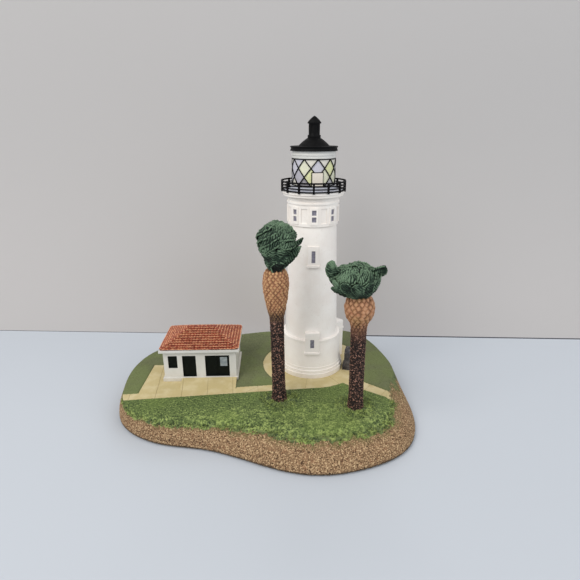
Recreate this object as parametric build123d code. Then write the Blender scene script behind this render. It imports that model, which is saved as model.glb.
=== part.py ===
from build123d import *
import math
import os

# A lighthouse figurine: a cast island with a tower, a keeper's house, two palms and a stone.
# Millimetres, +Z up, -Y is the front. The origin is on the tower's axis, on the face it rests on.

# Fits
GLUE_GAP = 0.05
HOLE_SPARE = 0.3

# Island. Each outline point is x, y and how far the bank runs in above it.
ISLAND_OUTLINE = [
    (-100.2, -31.0, 1.8), (-91.5, -47.6, 2.0), (-73.4, -58.4, 2.8), (-52.2, -62.4, 4.4),
    (-33.2, -69.0, 8.8), (-4.0, -78.7, 11.0), (22.4, -74.6, 10.8), (42.4, -61.7, 9.6),
    (51.0, -34.0, 9.5), (49.5, -12.0, 3.0), (46.0, 14.0, 2.0), (31.0, 43.0, 1.8),
    (0.0, 48.0, 1.8), (-35.0, 43.0, 1.8), (-68.0, 32.5, 1.8), (-94.0, 17.0, 1.8),
    (-102.2, -8.0, 1.6),
]
# Share of the bank's height, share of the run-in
BANK_CURVE = [(0.0, 0.0), (0.3, 0.15), (0.6, 0.55), (0.8, 1.0), (1.0, 1.5)]
FELT_THICK = 1.0
FELT_INSET = 1.2
PAVING_Z = 11.5
LAWN_RISE = 0.4
LAWN_Z = PAVING_Z + LAWN_RISE
APRON_RADIUS = 27.7
REAR_APRON_RADIUS = 26.5
REAR_APRON_SHIFT = 5.5
PATH_WIDTH = 6.5
PATH_ANGLE = 6.9
PATH_FRONT_Y = -27.8
ARM_WIDTHS = (8.8, 4.0)
ARM_ANGLE = -36.2
ARM_START = (20.0, -20.1)
COURT_LEFT = 10.5
COURT_REAR_Y = -2.5
BEYOND = 40.0

# Tower, heights above the paving
PLINTH_RADIUS = 17.8
PLINTH_HEIGHT = 2.5
STEP_IN = 0.5
STEP_HEIGHT = 1.75
DRUM_RADIUS = 16.6
DRUM_TOP_RADIUS = 15.4
STRING_Z = 20.0
STRING_HEIGHT = 1.6
STRING_PROUD = 0.5
SHAFT_RADIUS = 14.3
SHAFT_TOP_RADIUS = 12.3
BAND_Z = 81.4
BAND_RADIUS = 12.95
TOWER_HEIGHT = 92.6
TOWER_SOCKET_RADIUS = 8.0
TOWER_SOCKET_DEPTH = 4.0
DOWEL_RADIUS = 2.0
DOWEL_DEPTH = 7.0

# Tower windows
WINDOW_PROUD = 0.35
PANE_SUNK = 0.5
BAND_WINDOWS = 8
BAND_FRAME = (4.0, 8.4)
BAND_PANE = (2.2, 2.55)
BAND_PANE_Z = (85.55, 88.9)
BAND_FRAME_Z = 87.1
BAND_PANEL = (3.2, 7.4)
MID_FRAME = (5.7, 10.8)
MID_PANE = (1.95, 6.3)
MID_WINDOW_Z = 66.7
LOW_FRAME = (7.6, 12.2)
LOW_PANE = (2.1, 5.0)
LOW_WINDOW_Z = 19.8
SILL_HEIGHT = 1.1
SILL_PROUD = 0.5

# Gallery and railing, heights above the tower's head
GALLERY_RING = 1.0
COVE_RADIUS = 14.6
COVE_Z = 3.6
LIP_HEIGHT = 1.2
DECK_RADIUS = 15.8
DECK_THICK = 1.3
CURB_RADIUS = 11.2
CURB_HEIGHT = 2.5
POSTS = 14
POST_WIDTH = 1.0
POST_PHASE = -92.0
POST_DROP = 0.5
RAIL_THICK = 0.45
RAIL_HEIGHT = 0.55
TOP_RAIL_HEIGHT = 0.75
RAIL_PITCH = 1.35
RAILS = 4
FOOT_LEDGE = 0.6

# Lantern
GLAZING_RADIUS = 10.6
GLAZING_HEIGHT = 12.9
LATTICE_THICK = 0.3
LATTICE_BAR = 0.5
LATTICE_RIM = 0.4
DIAMONDS = 10
DIAMOND_ROWS = 3
LATTICE_PHASE = -81.6
HATCH = (5.1, 6.0)
HATCH_FRAME = 0.4
CORNICE_RADIUS = 10.7
CORNICE_HEIGHT = 3.4
CORNICE_BEAD = 0.25
SPIGOT_RADIUS = 5.5
SPIGOT_DEPTH = 1.6

# Lantern roof and ventilator
RIM_RADIUS = 11.75
RIM_HEIGHT = 2.2
RIM_GROOVE = 0.35
CONE_RADIUS = 7.8
CONE_HEIGHT = 3.7
CONE_BULGE = 0.12
NECK_RADIUS = 3.3
COLLAR_RADIUS = 3.2
COLLAR_HEIGHT = 1.4
VENT_RADIUS = 2.75
VENT_HEIGHT = 5.2
VENT_PANELS = 8
VENT_PANEL = (1.2, 3.4, 0.25)
CAP_RADIUS = 3.3
CAP_HEIGHT = 3.5
CAP_TIP = 0.2
VENT_PEG_RADIUS = 1.5
VENT_PEG_DEPTH = 2.0

# Entrance porch at the tower's rear right
PORCH_TURN = 45.0
PORCH_WIDTH = 12.0
PORCH_REACH = 21.3
PORCH_HEIGHT = 22.3
PORCH_BAND = (17.4, 1.0, 0.4)
PORCH_DOOR = (5.6, 11.5)
DOOR_SUNK = 0.6

# Keeper's house
HOUSE_AT = (-60.1, -5.4)
HOUSE_TURN = 2.0
HOUSE_SIZE = (38.3, 28.0, 17.2)
EAVE_OUT = 1.8
TILE_INSET = 0.7
FASCIA_HEIGHT = 1.4
LEDGE_OUT = 0.8
LEDGE_HEIGHT = 2.0
OPENING_TOP = 14.65
OPENING_SUNK = 0.9
DOOR_FOOT = 2.3
WINDOW_HEIGHT = 7.1
HOUSE_WINDOW = (2.4, 4.8)
HOUSE_DOOR = (9.9, 7.1)
STORE_DOOR = (21.9, 12.8)
STORE_PANE = (3.9, 5.5)
STORE_PANE_DOWN = 1.4
LEAF_GROOVE = 0.3
RAMP_RUN = 8.5
ROOF_PITCH = 25.0
RIDGE_LENGTH = 13.2
TILE_PITCH = 1.52
COURSE = 2.1
COURSE_LIFT = 0.28
RIDGE_RADIUS = 0.75
ROOF_KEY = (16.0, 8.0, 0.8)

# Palms: place, lean to +X at the top, then (height, radius) of trunk and boot
PALM_LEFT_AT = (-17.2, -37.4)
PALM_LEFT_LEAN = -1.2
PALM_LEFT_TRUNK = [(0, 3.75), (6, 3.2), (24, 3.1), (45, 3.4)]
PALM_LEFT_BOOT = [(46, 3.8), (54, 5.3), (60.5, 6.0), (65, 5.5), (67.3, 4.2)]
PALM_RIGHT_AT = (20.0, -44.0)
PALM_RIGHT_LEAN = -0.6
PALM_RIGHT_TRUNK = [(0, 3.9), (6, 3.45), (22, 3.4), (43, 3.65)]
PALM_RIGHT_BOOT = [(44, 4.0), (47, 5.9), (51, 6.85), (55, 6.1), (57.2, 4.4)]
PIN_RADIUS = 0.8
PIN_DEPTH = 7.0
FOOT_SUNK = 1.0
HEAD_PEG_RADIUS = 1.2
HEAD_PEG_DEPTH = 4.0

# Fronds: turn, then (distance out, height over the boot, half width) from the root to the tip.
# A head moves over by its shift as it rises off the boot.
FROND_THICK = 0.8
SHIFT_RISE = 6.0
LEFT_SHIFT = 0.8
LEFT_FRONDS = [
    (turn, [(1.6, 0.4, 1.6), (5.2, 6.0, 3.3), (7.5, 13.0, 4.0), (tip, top, 1.2)])
    for turn, tip, top in [(-145, 4.8, 20.4), (-98, 4.2, 21.0), (-52, 4.7, 20.0), (38, 4.5, 20.6),
                           (84, 4.1, 21.2), (128, 4.5, 20.2), (172, 5.0, 20.7)]
] + [(-14, [(1.6, 0.4, 1.5), (6.0, 4.8, 2.4), (9.6, 9.4, 2.2), (12.2, 12.8, 0.8)])]
LEFT_BUD = [(0, 2.6), (5.0, 4.5), (11, 6.7), (16.5, 6.4), (20.8, 2.8)]
RIGHT_SHIFT = -2.5
RIGHT_FRONDS = [
    (turn, [(1.8, 0.6, 1.9), (6.6, 2.8, 3.8), (10.4, 7.4, 4.3), (tip, top, 1.4)])
    for turn, tip, top in [(-118, 10.0, 11.2), (-84, 9.8, 10.6), (-50, 10.0, 11.0), (38, 9.8, 12.4),
                           (74, 9.6, 12.0), (110, 10.0, 12.8), (146, 10.2, 12.2)]
] + [
    (-14, [(1.8, 0.6, 1.8), (7.6, 4.4, 3.2), (12.0, 10.0, 3.6), (11.4, 15.0, 1.6)]),
    (-158, [(1.8, 0.6, 1.9), (8.4, 3.8, 3.4), (13.8, 10.0, 3.8), (10.8, 16.2, 1.3)]),
    (-146, [(1.8, 0.9, 1.8), (7.0, 1.2, 2.8), (10.6, 2.5, 2.8), (12.4, 4.8, 1.4)]),
]
RIGHT_BUD = [(0, 3.2), (3.5, 6.4), (8, 9.0), (12.0, 8.2), (15.2, 3.4)]

# Stone marker
STONE_AT = (21.6, -5.0)
STONE_TURN = -12.0
STONE_WIDTH = 8.0
STONE_FOOT = (7.0, 1.8)
STONE_BACK = 11.0
STONE_TOP = 2.4


def smooth_ring(points):
    """A closed smooth curve through points, as a face."""
    return make_face(Spline(*points, periodic=True))


def island_section(z, share, more=0.0):
    """The island's outline at a height, run in by a share of the bank's run-in and a margin."""
    ring = []
    count = len(ISLAND_OUTLINE)
    for i, (x, y, run_in) in enumerate(ISLAND_OUTLINE):
        before = ISLAND_OUTLINE[i - 1]
        after = ISLAND_OUTLINE[(i + 1) % count]
        along = Vector(after[0] - before[0], after[1] - before[1]).normalized()
        inward = run_in * share + more
        ring.append((x - along.Y * inward, y + along.X * inward))
    return Pos(0, 0, z) * smooth_ring(ring)


def at_palm(place):
    return Pos(place[0], place[1], LAWN_Z)


def at_house():
    return Pos(HOUSE_AT[0], HOUSE_AT[1], PAVING_Z) * Rot(0, 0, HOUSE_TURN)


def paving_plan():
    """Apron, path, forecourt, the house's footing and the arm to the right, as one flat shape."""
    rear = Pos(*(REAR_APRON_SHIFT * v for v in turned(PORCH_TURN))) * Circle(REAR_APRON_RADIUS)
    span = -ISLAND_OUTLINE[-1][0] + BEYOND
    path = Pos(0, PATH_FRONT_Y) * Rot(0, 0, PATH_ANGLE) * Pos(-span / 2, PATH_WIDTH / 2)
    path = path * Rectangle(span, PATH_WIDTH)
    near, far = (width / 2 for width in ARM_WIDTHS)
    arm = make_face(Polyline((0, -near), (BEYOND, -far), (BEYOND, far), (0, near), close=True))
    arm = Pos(*ARM_START) * Rot(0, 0, ARM_ANGLE) * arm
    left = HOUSE_AT[0] - HOUSE_SIZE[0] / 2 - COURT_LEFT
    right = HOUSE_AT[0] + HOUSE_SIZE[0] / 2
    slope = math.tan(math.radians(PATH_ANGLE))
    court = make_face(Polyline(
        (left, COURT_REAR_Y), (left, PATH_FRONT_Y + left * slope + 1),
        (right, PATH_FRONT_Y + right * slope + 1), (right, COURT_REAR_Y), close=True,
    ))
    wide = 2 * (LEDGE_OUT + GLUE_GAP)
    house = Pos(*HOUSE_AT) * Rot(0, 0, HOUSE_TURN)
    house = house * Rectangle(HOUSE_SIZE[0] + wide, HOUSE_SIZE[1] + wide)
    return Circle(APRON_RADIUS) + rear + path + arm + court + house


def turned(degrees):
    return math.cos(math.radians(degrees)), math.sin(math.radians(degrees))


def door_ramp():
    """The paved ramp up to the two door sills."""
    start = -HOUSE_SIZE[0] / 2 + HOUSE_DOOR[0] - 0.6
    front = -HOUSE_SIZE[1] / 2 - LEDGE_OUT - GLUE_GAP
    side = make_face(Polyline(
        (front, -1), (front, DOOR_FOOT - 0.2), (front - RAMP_RUN, 0), (front - RAMP_RUN, -1), close=True,
    ))
    length = HOUSE_SIZE[0] / 2 - start
    return at_house() * Pos(start, 0, 0) * extrude(Plane.YZ * side, amount=length)


def base_casting():
    low = FELT_THICK
    tall = LAWN_Z - low
    island = loft([island_section(low + tall * up, share) for up, share in BANK_CURVE])
    island -= Pos(0, 0, PAVING_Z) * extrude(paving_plan(), amount=LAWN_RISE + 1)
    island += door_ramp()
    island -= Pos(0, 0, PAVING_Z - DOWEL_DEPTH - HOLE_SPARE) * Cylinder(
        DOWEL_RADIUS + GLUE_GAP, DOWEL_DEPTH + HOLE_SPARE, align=(Align.CENTER, Align.CENTER, Align.MIN))
    for place in (PALM_LEFT_AT, PALM_RIGHT_AT):
        island -= at_palm(place) * Pos(0, 0, -PIN_DEPTH - HOLE_SPARE) * Cylinder(
            PIN_RADIUS + GLUE_GAP, PIN_DEPTH + HOLE_SPARE, align=(Align.CENTER, Align.CENTER, Align.MIN))
    return island


def felt_pad():
    return extrude(island_section(0, 0, FELT_INSET), amount=FELT_THICK, dir=(0, 0, 1))


def drum_foot():
    return PLINTH_HEIGHT + 2 * STEP_HEIGHT


def tower_profile(grow=0.0):
    """Half section of the tower, every radius grown by the same amount."""
    steps = [(PLINTH_RADIUS, 0), (PLINTH_RADIUS, PLINTH_HEIGHT)]
    for i in (1, 2):
        low = PLINTH_HEIGHT + (i - 1) * STEP_HEIGHT
        steps += [(PLINTH_RADIUS - i * STEP_IN, low), (PLINTH_RADIUS - i * STEP_IN, low + STEP_HEIGHT)]
    string = DRUM_TOP_RADIUS + STRING_PROUD
    string_top = STRING_Z + STRING_HEIGHT
    wall = [
        (DRUM_RADIUS, drum_foot()), (DRUM_TOP_RADIUS, STRING_Z), (string, STRING_Z + 0.3),
        (string, string_top - 0.3), (SHAFT_RADIUS, string_top), (SHAFT_TOP_RADIUS, BAND_Z),
        (BAND_RADIUS, BAND_Z + 0.5), (BAND_RADIUS, TOWER_HEIGHT),
    ]
    line = [(radius + grow, 0, z) for radius, z in steps + wall]
    return make_face(Polyline((0, 0, 0), *line, (0, 0, TOWER_HEIGHT), close=True))


def wall_radius(z):
    """Radius of the plain wall at a height above the paving."""
    if z > BAND_Z:
        return BAND_RADIUS
    string_top = STRING_Z + STRING_HEIGHT
    if z > string_top:
        share = (z - string_top) / (BAND_Z - string_top)
        return SHAFT_RADIUS + share * (SHAFT_TOP_RADIUS - SHAFT_RADIUS)
    share = (z - drum_foot()) / (STRING_Z - drum_foot())
    return DRUM_RADIUS + share * (DRUM_TOP_RADIUS - DRUM_RADIUS)


def wall_block(width, height, z, face, deep):
    """A block on the front of the tower: its face at a radius, its back deeper in the wall."""
    return Pos(0, -face + deep / 2, z) * Box(width, deep, height)


def front_window(frame, pane, z):
    """A window on the front: what is added to the wall and what is sunk into it."""
    foot = z - frame[1] / 2
    face = max(wall_radius(foot), wall_radius(z)) + WINDOW_PROUD
    surround = wall_block(frame[0], frame[1], z, face, 4)
    sill = wall_block(frame[0] + 1, SILL_HEIGHT, foot + SILL_HEIGHT / 2, face + SILL_PROUD, 4)
    glass = wall_block(pane[0], pane[1], z, face + 2, 2 + PANE_SUNK)
    return surround + sill, glass


def tower_casting():
    tower = revolve(tower_profile(), Axis.Z)
    band_face = BAND_RADIUS + WINDOW_PROUD
    frames = []
    sunk = []
    for i in range(BAND_WINDOWS):
        spin = Rot(0, 0, i * 360 / BAND_WINDOWS)
        frames.append(spin * wall_block(*BAND_FRAME, BAND_FRAME_Z, band_face, 2))
        for z in BAND_PANE_Z:
            sunk.append(spin * wall_block(*BAND_PANE, z, band_face + 1, 1 + PANE_SUNK))
        half = Rot(0, 0, (i + 0.5) * 360 / BAND_WINDOWS)
        sunk.append(half * wall_block(*BAND_PANEL, BAND_FRAME_Z, BAND_RADIUS + 1, 1 + PANE_SUNK))
    for frame, pane, z in ((MID_FRAME, MID_PANE, MID_WINDOW_Z), (LOW_FRAME, LOW_PANE, LOW_WINDOW_Z)):
        added, taken = front_window(frame, pane, z)
        frames.append(added)
        sunk.append(taken)
    tower = tower + frames - sunk
    tower -= Pos(0, 0, TOWER_HEIGHT) * Cylinder(
        TOWER_SOCKET_RADIUS + GLUE_GAP, 2 * (TOWER_SOCKET_DEPTH + HOLE_SPARE))
    tower -= Cylinder(DOWEL_RADIUS + GLUE_GAP, 2 * (DOWEL_DEPTH + HOLE_SPARE))
    return Pos(0, 0, PAVING_Z) * tower


def tower_dowel():
    return Pos(0, 0, PAVING_Z) * Cylinder(DOWEL_RADIUS, 2 * DOWEL_DEPTH)


def gallery_z():
    return PAVING_Z + TOWER_HEIGHT


def deck_z():
    return gallery_z() + COVE_Z + LIP_HEIGHT + DECK_THICK


def glazing_z():
    return deck_z() + CURB_HEIGHT


def cornice_z():
    return glazing_z() + GLAZING_HEIGHT


def roof_z():
    return cornice_z() + CORNICE_HEIGHT


def neck_z():
    return roof_z() + RIM_HEIGHT + CONE_HEIGHT


def turned_piece(line, z):
    """A turned piece: a half section, given as curves in the XZ plane, spun about the tower's axis."""
    return Pos(0, 0, z) * revolve(make_face(line), Axis.Z)


def spigot_hole():
    return Cylinder(SPIGOT_RADIUS + GLUE_GAP, 2 * (SPIGOT_DEPTH + HOLE_SPARE))


def gallery_casting():
    deck_foot = COVE_Z + LIP_HEIGHT
    deck_top = deck_foot + DECK_THICK
    lip = (COVE_RADIUS + DECK_RADIUS) / 2
    ring = BAND_RADIUS + 0.45
    line = Curve() + [
        Polyline((0, 0, -TOWER_SOCKET_DEPTH), (TOWER_SOCKET_RADIUS, 0, -TOWER_SOCKET_DEPTH),
                 (TOWER_SOCKET_RADIUS, 0, 0), (ring, 0, 0), (ring, 0, GALLERY_RING),
                 (BAND_RADIUS, 0, GALLERY_RING)),
        ThreePointArc((BAND_RADIUS, 0, GALLERY_RING),
                      (BAND_RADIUS + 0.4, 0, (GALLERY_RING + COVE_Z) / 2 + 0.4), (COVE_RADIUS, 0, COVE_Z)),
        Polyline((COVE_RADIUS, 0, COVE_Z), (lip, 0, COVE_Z), (lip, 0, deck_foot), (DECK_RADIUS, 0, deck_foot),
                 (DECK_RADIUS, 0, deck_top), (CURB_RADIUS, 0, deck_top),
                 (CURB_RADIUS, 0, deck_top + CURB_HEIGHT), (0, 0, deck_top + CURB_HEIGHT),
                 (0, 0, -TOWER_SOCKET_DEPTH)),
    ]
    gallery = turned_piece(line, gallery_z())
    return gallery - Pos(0, 0, glazing_z()) * spigot_hole()


def band_ring(inner, outer, z, height):
    """A flat ring standing on a height."""
    ring = Circle(outer) - Circle(inner)
    return Pos(0, 0, z) * extrude(ring, amount=height)


def gallery_railing():
    inner = DECK_RADIUS + GLUE_GAP
    outer = inner + RAIL_THICK
    foot = deck_z()
    railing = band_ring(DECK_RADIUS - FOOT_LEDGE, outer, foot, RAIL_HEIGHT)
    for i in range(1, RAILS):
        tall = TOP_RAIL_HEIGHT if i == RAILS - 1 else RAIL_HEIGHT
        railing += band_ring(inner, outer, foot + i * RAIL_PITCH, tall)
    top = (RAILS - 1) * RAIL_PITCH + TOP_RAIL_HEIGHT
    tall = POST_DROP + top
    for i in range(POSTS):
        post = Pos(inner + RAIL_THICK / 2 + 0.1, 0, foot - POST_DROP + tall / 2)
        post = post * Box(RAIL_THICK + 0.2, POST_WIDTH, tall)
        railing += Rot(0, 0, POST_PHASE + i * 360 / POSTS) * post
    return railing - Pos(0, 0, foot - tall / 2) * Cylinder(inner, tall)


def on_glazing(turn, z):
    """The plane that faces out from the lantern's wall, its X level and its Y up."""
    out = Vector(*turned(turn))
    return Plane(origin=(0, 0, z), x_dir=(-out.Y, out.X, 0), z_dir=(out.X, out.Y, 0))


def hatch_turn():
    return LATTICE_PHASE - 1.0


def lantern_glazing():
    drum = Cylinder(GLAZING_RADIUS, GLAZING_HEIGHT, align=(Align.CENTER, Align.CENTER, Align.MIN))
    drum = Pos(0, 0, glazing_z()) * drum
    low = glazing_z() + LATTICE_RIM
    door = on_glazing(hatch_turn(), low + HATCH[1] / 2) * Rectangle(*HATCH)
    reach = GLAZING_RADIUS + LATTICE_THICK + 0.15
    drum += extrude(door, amount=reach) - Pos(0, 0, glazing_z()) * Cylinder(1, 4 * GLAZING_HEIGHT)
    drum += Pos(0, 0, glazing_z() - SPIGOT_DEPTH / 2) * Cylinder(SPIGOT_RADIUS, SPIGOT_DEPTH)
    return drum - Pos(0, 0, cornice_z()) * spigot_hole()


def lattice_openings():
    """Flat shapes of the openings in one tenth of the lattice, as corners in half spacings and rows."""
    shapes = [[(-1, 0), (1, 0), (0, 1)]]
    for row in range(DIAMOND_ROWS - 1):
        middle = 1 - row % 2
        shapes.append([(middle, row), (middle + 1, row + 1), (middle, row + 2), (middle - 1, row + 1)])
    last = DIAMOND_ROWS
    shapes.append([(1, last - 1), (2, last), (0, last)])
    return shapes


def lantern_lattice():
    inner = GLAZING_RADIUS + GLUE_GAP
    outer = inner + LATTICE_THICK
    sleeve = band_ring(inner, outer, glazing_z(), GLAZING_HEIGHT)
    top = cornice_z() - LATTICE_RIM / 2
    row = (GLAZING_HEIGHT - LATTICE_RIM) / DIAMOND_ROWS
    half = 180 / DIAMONDS
    cuts = []
    for corners in lattice_openings():
        middle = sum(c[0] for c in corners) / len(corners)
        flat = [(outer * math.sin(math.radians((c - middle) * half)), -r * row) for c, r in corners]
        opening = offset(make_face(Polyline(*flat, close=True)), -LATTICE_BAR / 2, kind=Kind.INTERSECTION)
        for i in range(DIAMONDS):
            turn = LATTICE_PHASE + (2 * i - 1 + middle) * half
            cuts.append(extrude(on_glazing(turn, top) * opening, amount=outer + 1))
    lattice = sleeve - cuts
    low = glazing_z() + LATTICE_RIM
    middle = on_glazing(hatch_turn(), low + HATCH[1] / 2)
    frame = Rectangle(HATCH[0] + 2 * HATCH_FRAME, HATCH[1] + 2 * HATCH_FRAME)
    lattice += extrude(middle * frame, amount=outer + 1) & sleeve
    door = Rectangle(HATCH[0] + 2 * GLUE_GAP, HATCH[1] + 2 * GLUE_GAP)
    return lattice - extrude(middle * door, amount=outer + 1)


def lantern_cornice():
    bead = CORNICE_RADIUS + CORNICE_BEAD
    mid = CORNICE_HEIGHT / 2
    line = Curve() + [
        Polyline((0, 0, -SPIGOT_DEPTH), (SPIGOT_RADIUS, 0, -SPIGOT_DEPTH), (SPIGOT_RADIUS, 0, 0),
                 (CORNICE_RADIUS, 0, 0), (CORNICE_RADIUS, 0, mid - 0.5)),
        ThreePointArc((CORNICE_RADIUS, 0, mid - 0.5), (bead, 0, mid), (CORNICE_RADIUS, 0, mid + 0.5)),
        Polyline((CORNICE_RADIUS, 0, mid + 0.5), (CORNICE_RADIUS, 0, CORNICE_HEIGHT),
                 (0, 0, CORNICE_HEIGHT), (0, 0, -SPIGOT_DEPTH)),
    ]
    return turned_piece(line, cornice_z()) - Pos(0, 0, roof_z()) * spigot_hole()


def lantern_roof():
    groove = RIM_RADIUS - RIM_GROOVE
    mid = RIM_HEIGHT / 2
    swell = (CONE_RADIUS + NECK_RADIUS) / 2 + CONE_BULGE
    line = Curve() + [
        Polyline((0, 0, -SPIGOT_DEPTH), (SPIGOT_RADIUS, 0, -SPIGOT_DEPTH), (SPIGOT_RADIUS, 0, 0),
                 (RIM_RADIUS, 0, 0), (RIM_RADIUS, 0, 0.4)),
        ThreePointArc((RIM_RADIUS, 0, 0.4), (groove, 0, mid), (RIM_RADIUS, 0, RIM_HEIGHT - 0.4)),
        Polyline((RIM_RADIUS, 0, RIM_HEIGHT - 0.4), (RIM_RADIUS, 0, RIM_HEIGHT),
                 (CONE_RADIUS, 0, RIM_HEIGHT)),
        ThreePointArc((CONE_RADIUS, 0, RIM_HEIGHT), (swell, 0, RIM_HEIGHT + CONE_HEIGHT / 2 + CONE_BULGE),
                      (NECK_RADIUS, 0, RIM_HEIGHT + CONE_HEIGHT)),
        Polyline((NECK_RADIUS, 0, RIM_HEIGHT + CONE_HEIGHT), (0, 0, RIM_HEIGHT + CONE_HEIGHT),
                 (0, 0, -SPIGOT_DEPTH)),
    ]
    peg = Cylinder(VENT_PEG_RADIUS + GLUE_GAP, 2 * (VENT_PEG_DEPTH + HOLE_SPARE))
    return turned_piece(line, roof_z()) - Pos(0, 0, neck_z()) * peg


def roof_vent():
    cap = COLLAR_HEIGHT + VENT_HEIGHT
    line = Curve() + [
        Polyline((0, 0, -VENT_PEG_DEPTH), (VENT_PEG_RADIUS, 0, -VENT_PEG_DEPTH), (VENT_PEG_RADIUS, 0, 0),
                 (COLLAR_RADIUS, 0, 0), (COLLAR_RADIUS, 0, COLLAR_HEIGHT), (VENT_RADIUS, 0, COLLAR_HEIGHT),
                 (VENT_RADIUS, 0, cap), (CAP_RADIUS, 0, cap), (CAP_RADIUS, 0, cap + 0.5)),
        ThreePointArc((CAP_RADIUS, 0, cap + 0.5), (CAP_RADIUS * 0.62, 0, cap + CAP_HEIGHT * 0.58),
                      (CAP_TIP, 0, cap + CAP_HEIGHT)),
        Polyline((CAP_TIP, 0, cap + CAP_HEIGHT), (0, 0, cap + CAP_HEIGHT), (0, 0, -VENT_PEG_DEPTH)),
    ]
    vent = turned_piece(line, neck_z())
    wide, tall, deep = VENT_PANEL
    panel = Pos(VENT_RADIUS, 0, neck_z() + COLLAR_HEIGHT + VENT_HEIGHT / 2) * Box(2 * deep, wide, tall)
    return vent - [Rot(0, 0, (i + 0.5) * 360 / VENT_PANELS) * panel for i in range(VENT_PANELS)]


def entrance_porch():
    block = Pos(PORCH_REACH / 2, 0, PORCH_HEIGHT / 2) * Box(PORCH_REACH, PORCH_WIDTH, PORCH_HEIGHT)
    band_z, band_tall, proud = PORCH_BAND
    band = Pos(PORCH_REACH / 2, 0, band_z + band_tall / 2)
    band = band * Box(PORCH_REACH + 2 * proud, PORCH_WIDTH + 2 * proud, band_tall)
    door = Pos(PORCH_REACH, 0, PORCH_DOOR[1] / 2) * Box(2 * DOOR_SUNK, *PORCH_DOOR)
    porch = Rot(0, 0, PORCH_TURN) * (block + band - door)
    porch -= revolve(tower_profile(2 * GLUE_GAP), Axis.Z)
    porch = max(porch.solids(), key=lambda solid: solid.volume)
    return Pos(0, 0, PAVING_Z) * porch


def wall_opening(margin, width, foot, deep):
    """A recess in the house's front wall, placed from its left end."""
    x = -HOUSE_SIZE[0] / 2 + margin + width / 2
    tall = OPENING_TOP - foot
    return Pos(x, -HOUSE_SIZE[1] / 2, foot + tall / 2) * Box(width, 2 * deep, tall)


def store_door():
    """The two-leaf door: its recess, the line between the leaves and the pane in the right leaf."""
    margin, width = STORE_DOOR
    middle = margin + width / 2
    groove = OPENING_SUNK + LEAF_GROOVE
    recess = wall_opening(margin, width, DOOR_FOOT, OPENING_SUNK)
    recess += wall_opening(middle - LEAF_GROOVE / 2, LEAF_GROOVE, DOOR_FOOT, groove)
    x = -HOUSE_SIZE[0] / 2 + middle + width / 4
    z = OPENING_TOP - STORE_PANE_DOWN - STORE_PANE[1] / 2
    return recess + Pos(x, -HOUSE_SIZE[1] / 2, z) * Box(STORE_PANE[0], 2 * groove, STORE_PANE[1])


def house_walls():
    long, deep, tall = HOUSE_SIZE
    on_floor = (Align.CENTER, Align.CENTER, Align.MIN)
    walls = Box(long, deep, tall, align=on_floor)
    walls += Box(long + 2 * LEDGE_OUT, deep + 2 * LEDGE_OUT, LEDGE_HEIGHT, align=on_floor)
    fascia = Box(long + 2 * EAVE_OUT, deep + 2 * EAVE_OUT, FASCIA_HEIGHT, align=on_floor)
    walls += Pos(0, 0, tall) * fascia
    walls -= wall_opening(*HOUSE_WINDOW, OPENING_TOP - WINDOW_HEIGHT, OPENING_SUNK)
    walls -= wall_opening(*HOUSE_DOOR, DOOR_FOOT, OPENING_SUNK)
    walls -= store_door()
    key = [side + 2 * GLUE_GAP for side in ROOF_KEY]
    walls -= Pos(0, 0, tall + FASCIA_HEIGHT) * Box(key[0], key[1], 2 * key[2])
    return at_house() * walls


def tile_course(columns, low, high):
    """One course of barrel tiles up a slope: a row of half rounds, lifted at its lower edge."""
    radius = TILE_PITCH * 0.42
    half = columns * TILE_PITCH / 2
    line = Curve() + [Polyline((half, 0), (half, -1.2), (-half, -1.2), (-half, 0))]
    for i in range(columns):
        start = -half + i * TILE_PITCH
        crown = start + TILE_PITCH / 2
        line += Polyline((start, 0), (crown - radius, 0))
        line += ThreePointArc((crown - radius, 0), (crown, radius * 0.9), (crown + radius, 0))
        line += Polyline((crown + radius, 0), (start + TILE_PITCH, 0))
    run = high - low
    way = Vector(0, run, -COURSE_LIFT)
    face = Plane.XZ * make_face(line)
    return Pos(0, low, COURSE_LIFT) * extrude(face, amount=way.length, dir=way)


def roof_slope(width, flat, run, rise):
    """One slope of the hip roof, its eave along X, rising to +Y, cut back to its hips."""
    pitch = math.degrees(math.atan2(rise, run))
    length = math.hypot(run, rise)
    courses = round(length / COURSE)
    plan = [(-width / 2, 0), (width / 2, 0), (flat / 2, run)]
    if flat:
        plan.append((-flat / 2, run))
    room = extrude(make_face(Polyline(*plan, close=True)), amount=4 * run)
    fill = make_face(Polyline((0, 0), (run, rise), (run, 0), close=True))
    fill = Pos(-width, 0, 0) * extrude(Plane.YZ * fill, amount=2 * width)
    tiles = []
    for i in range(courses):
        low = i * length / courses
        wide = width + (flat - width) * i / courses
        columns = 2 * math.ceil(wide / 2 / TILE_PITCH + 0.5)
        tiles.append(Rot(pitch, 0, 0) * tile_course(columns, low, low + length / courses))
    return (fill + tiles) & room


def hip_cap(start, end):
    """A run of cap tiles along a hip or the ridge."""
    way = Vector(*end) - Vector(*start)
    plane = Plane(origin=start, z_dir=way)
    return extrude(plane * Circle(RIDGE_RADIUS), amount=way.length)


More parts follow.
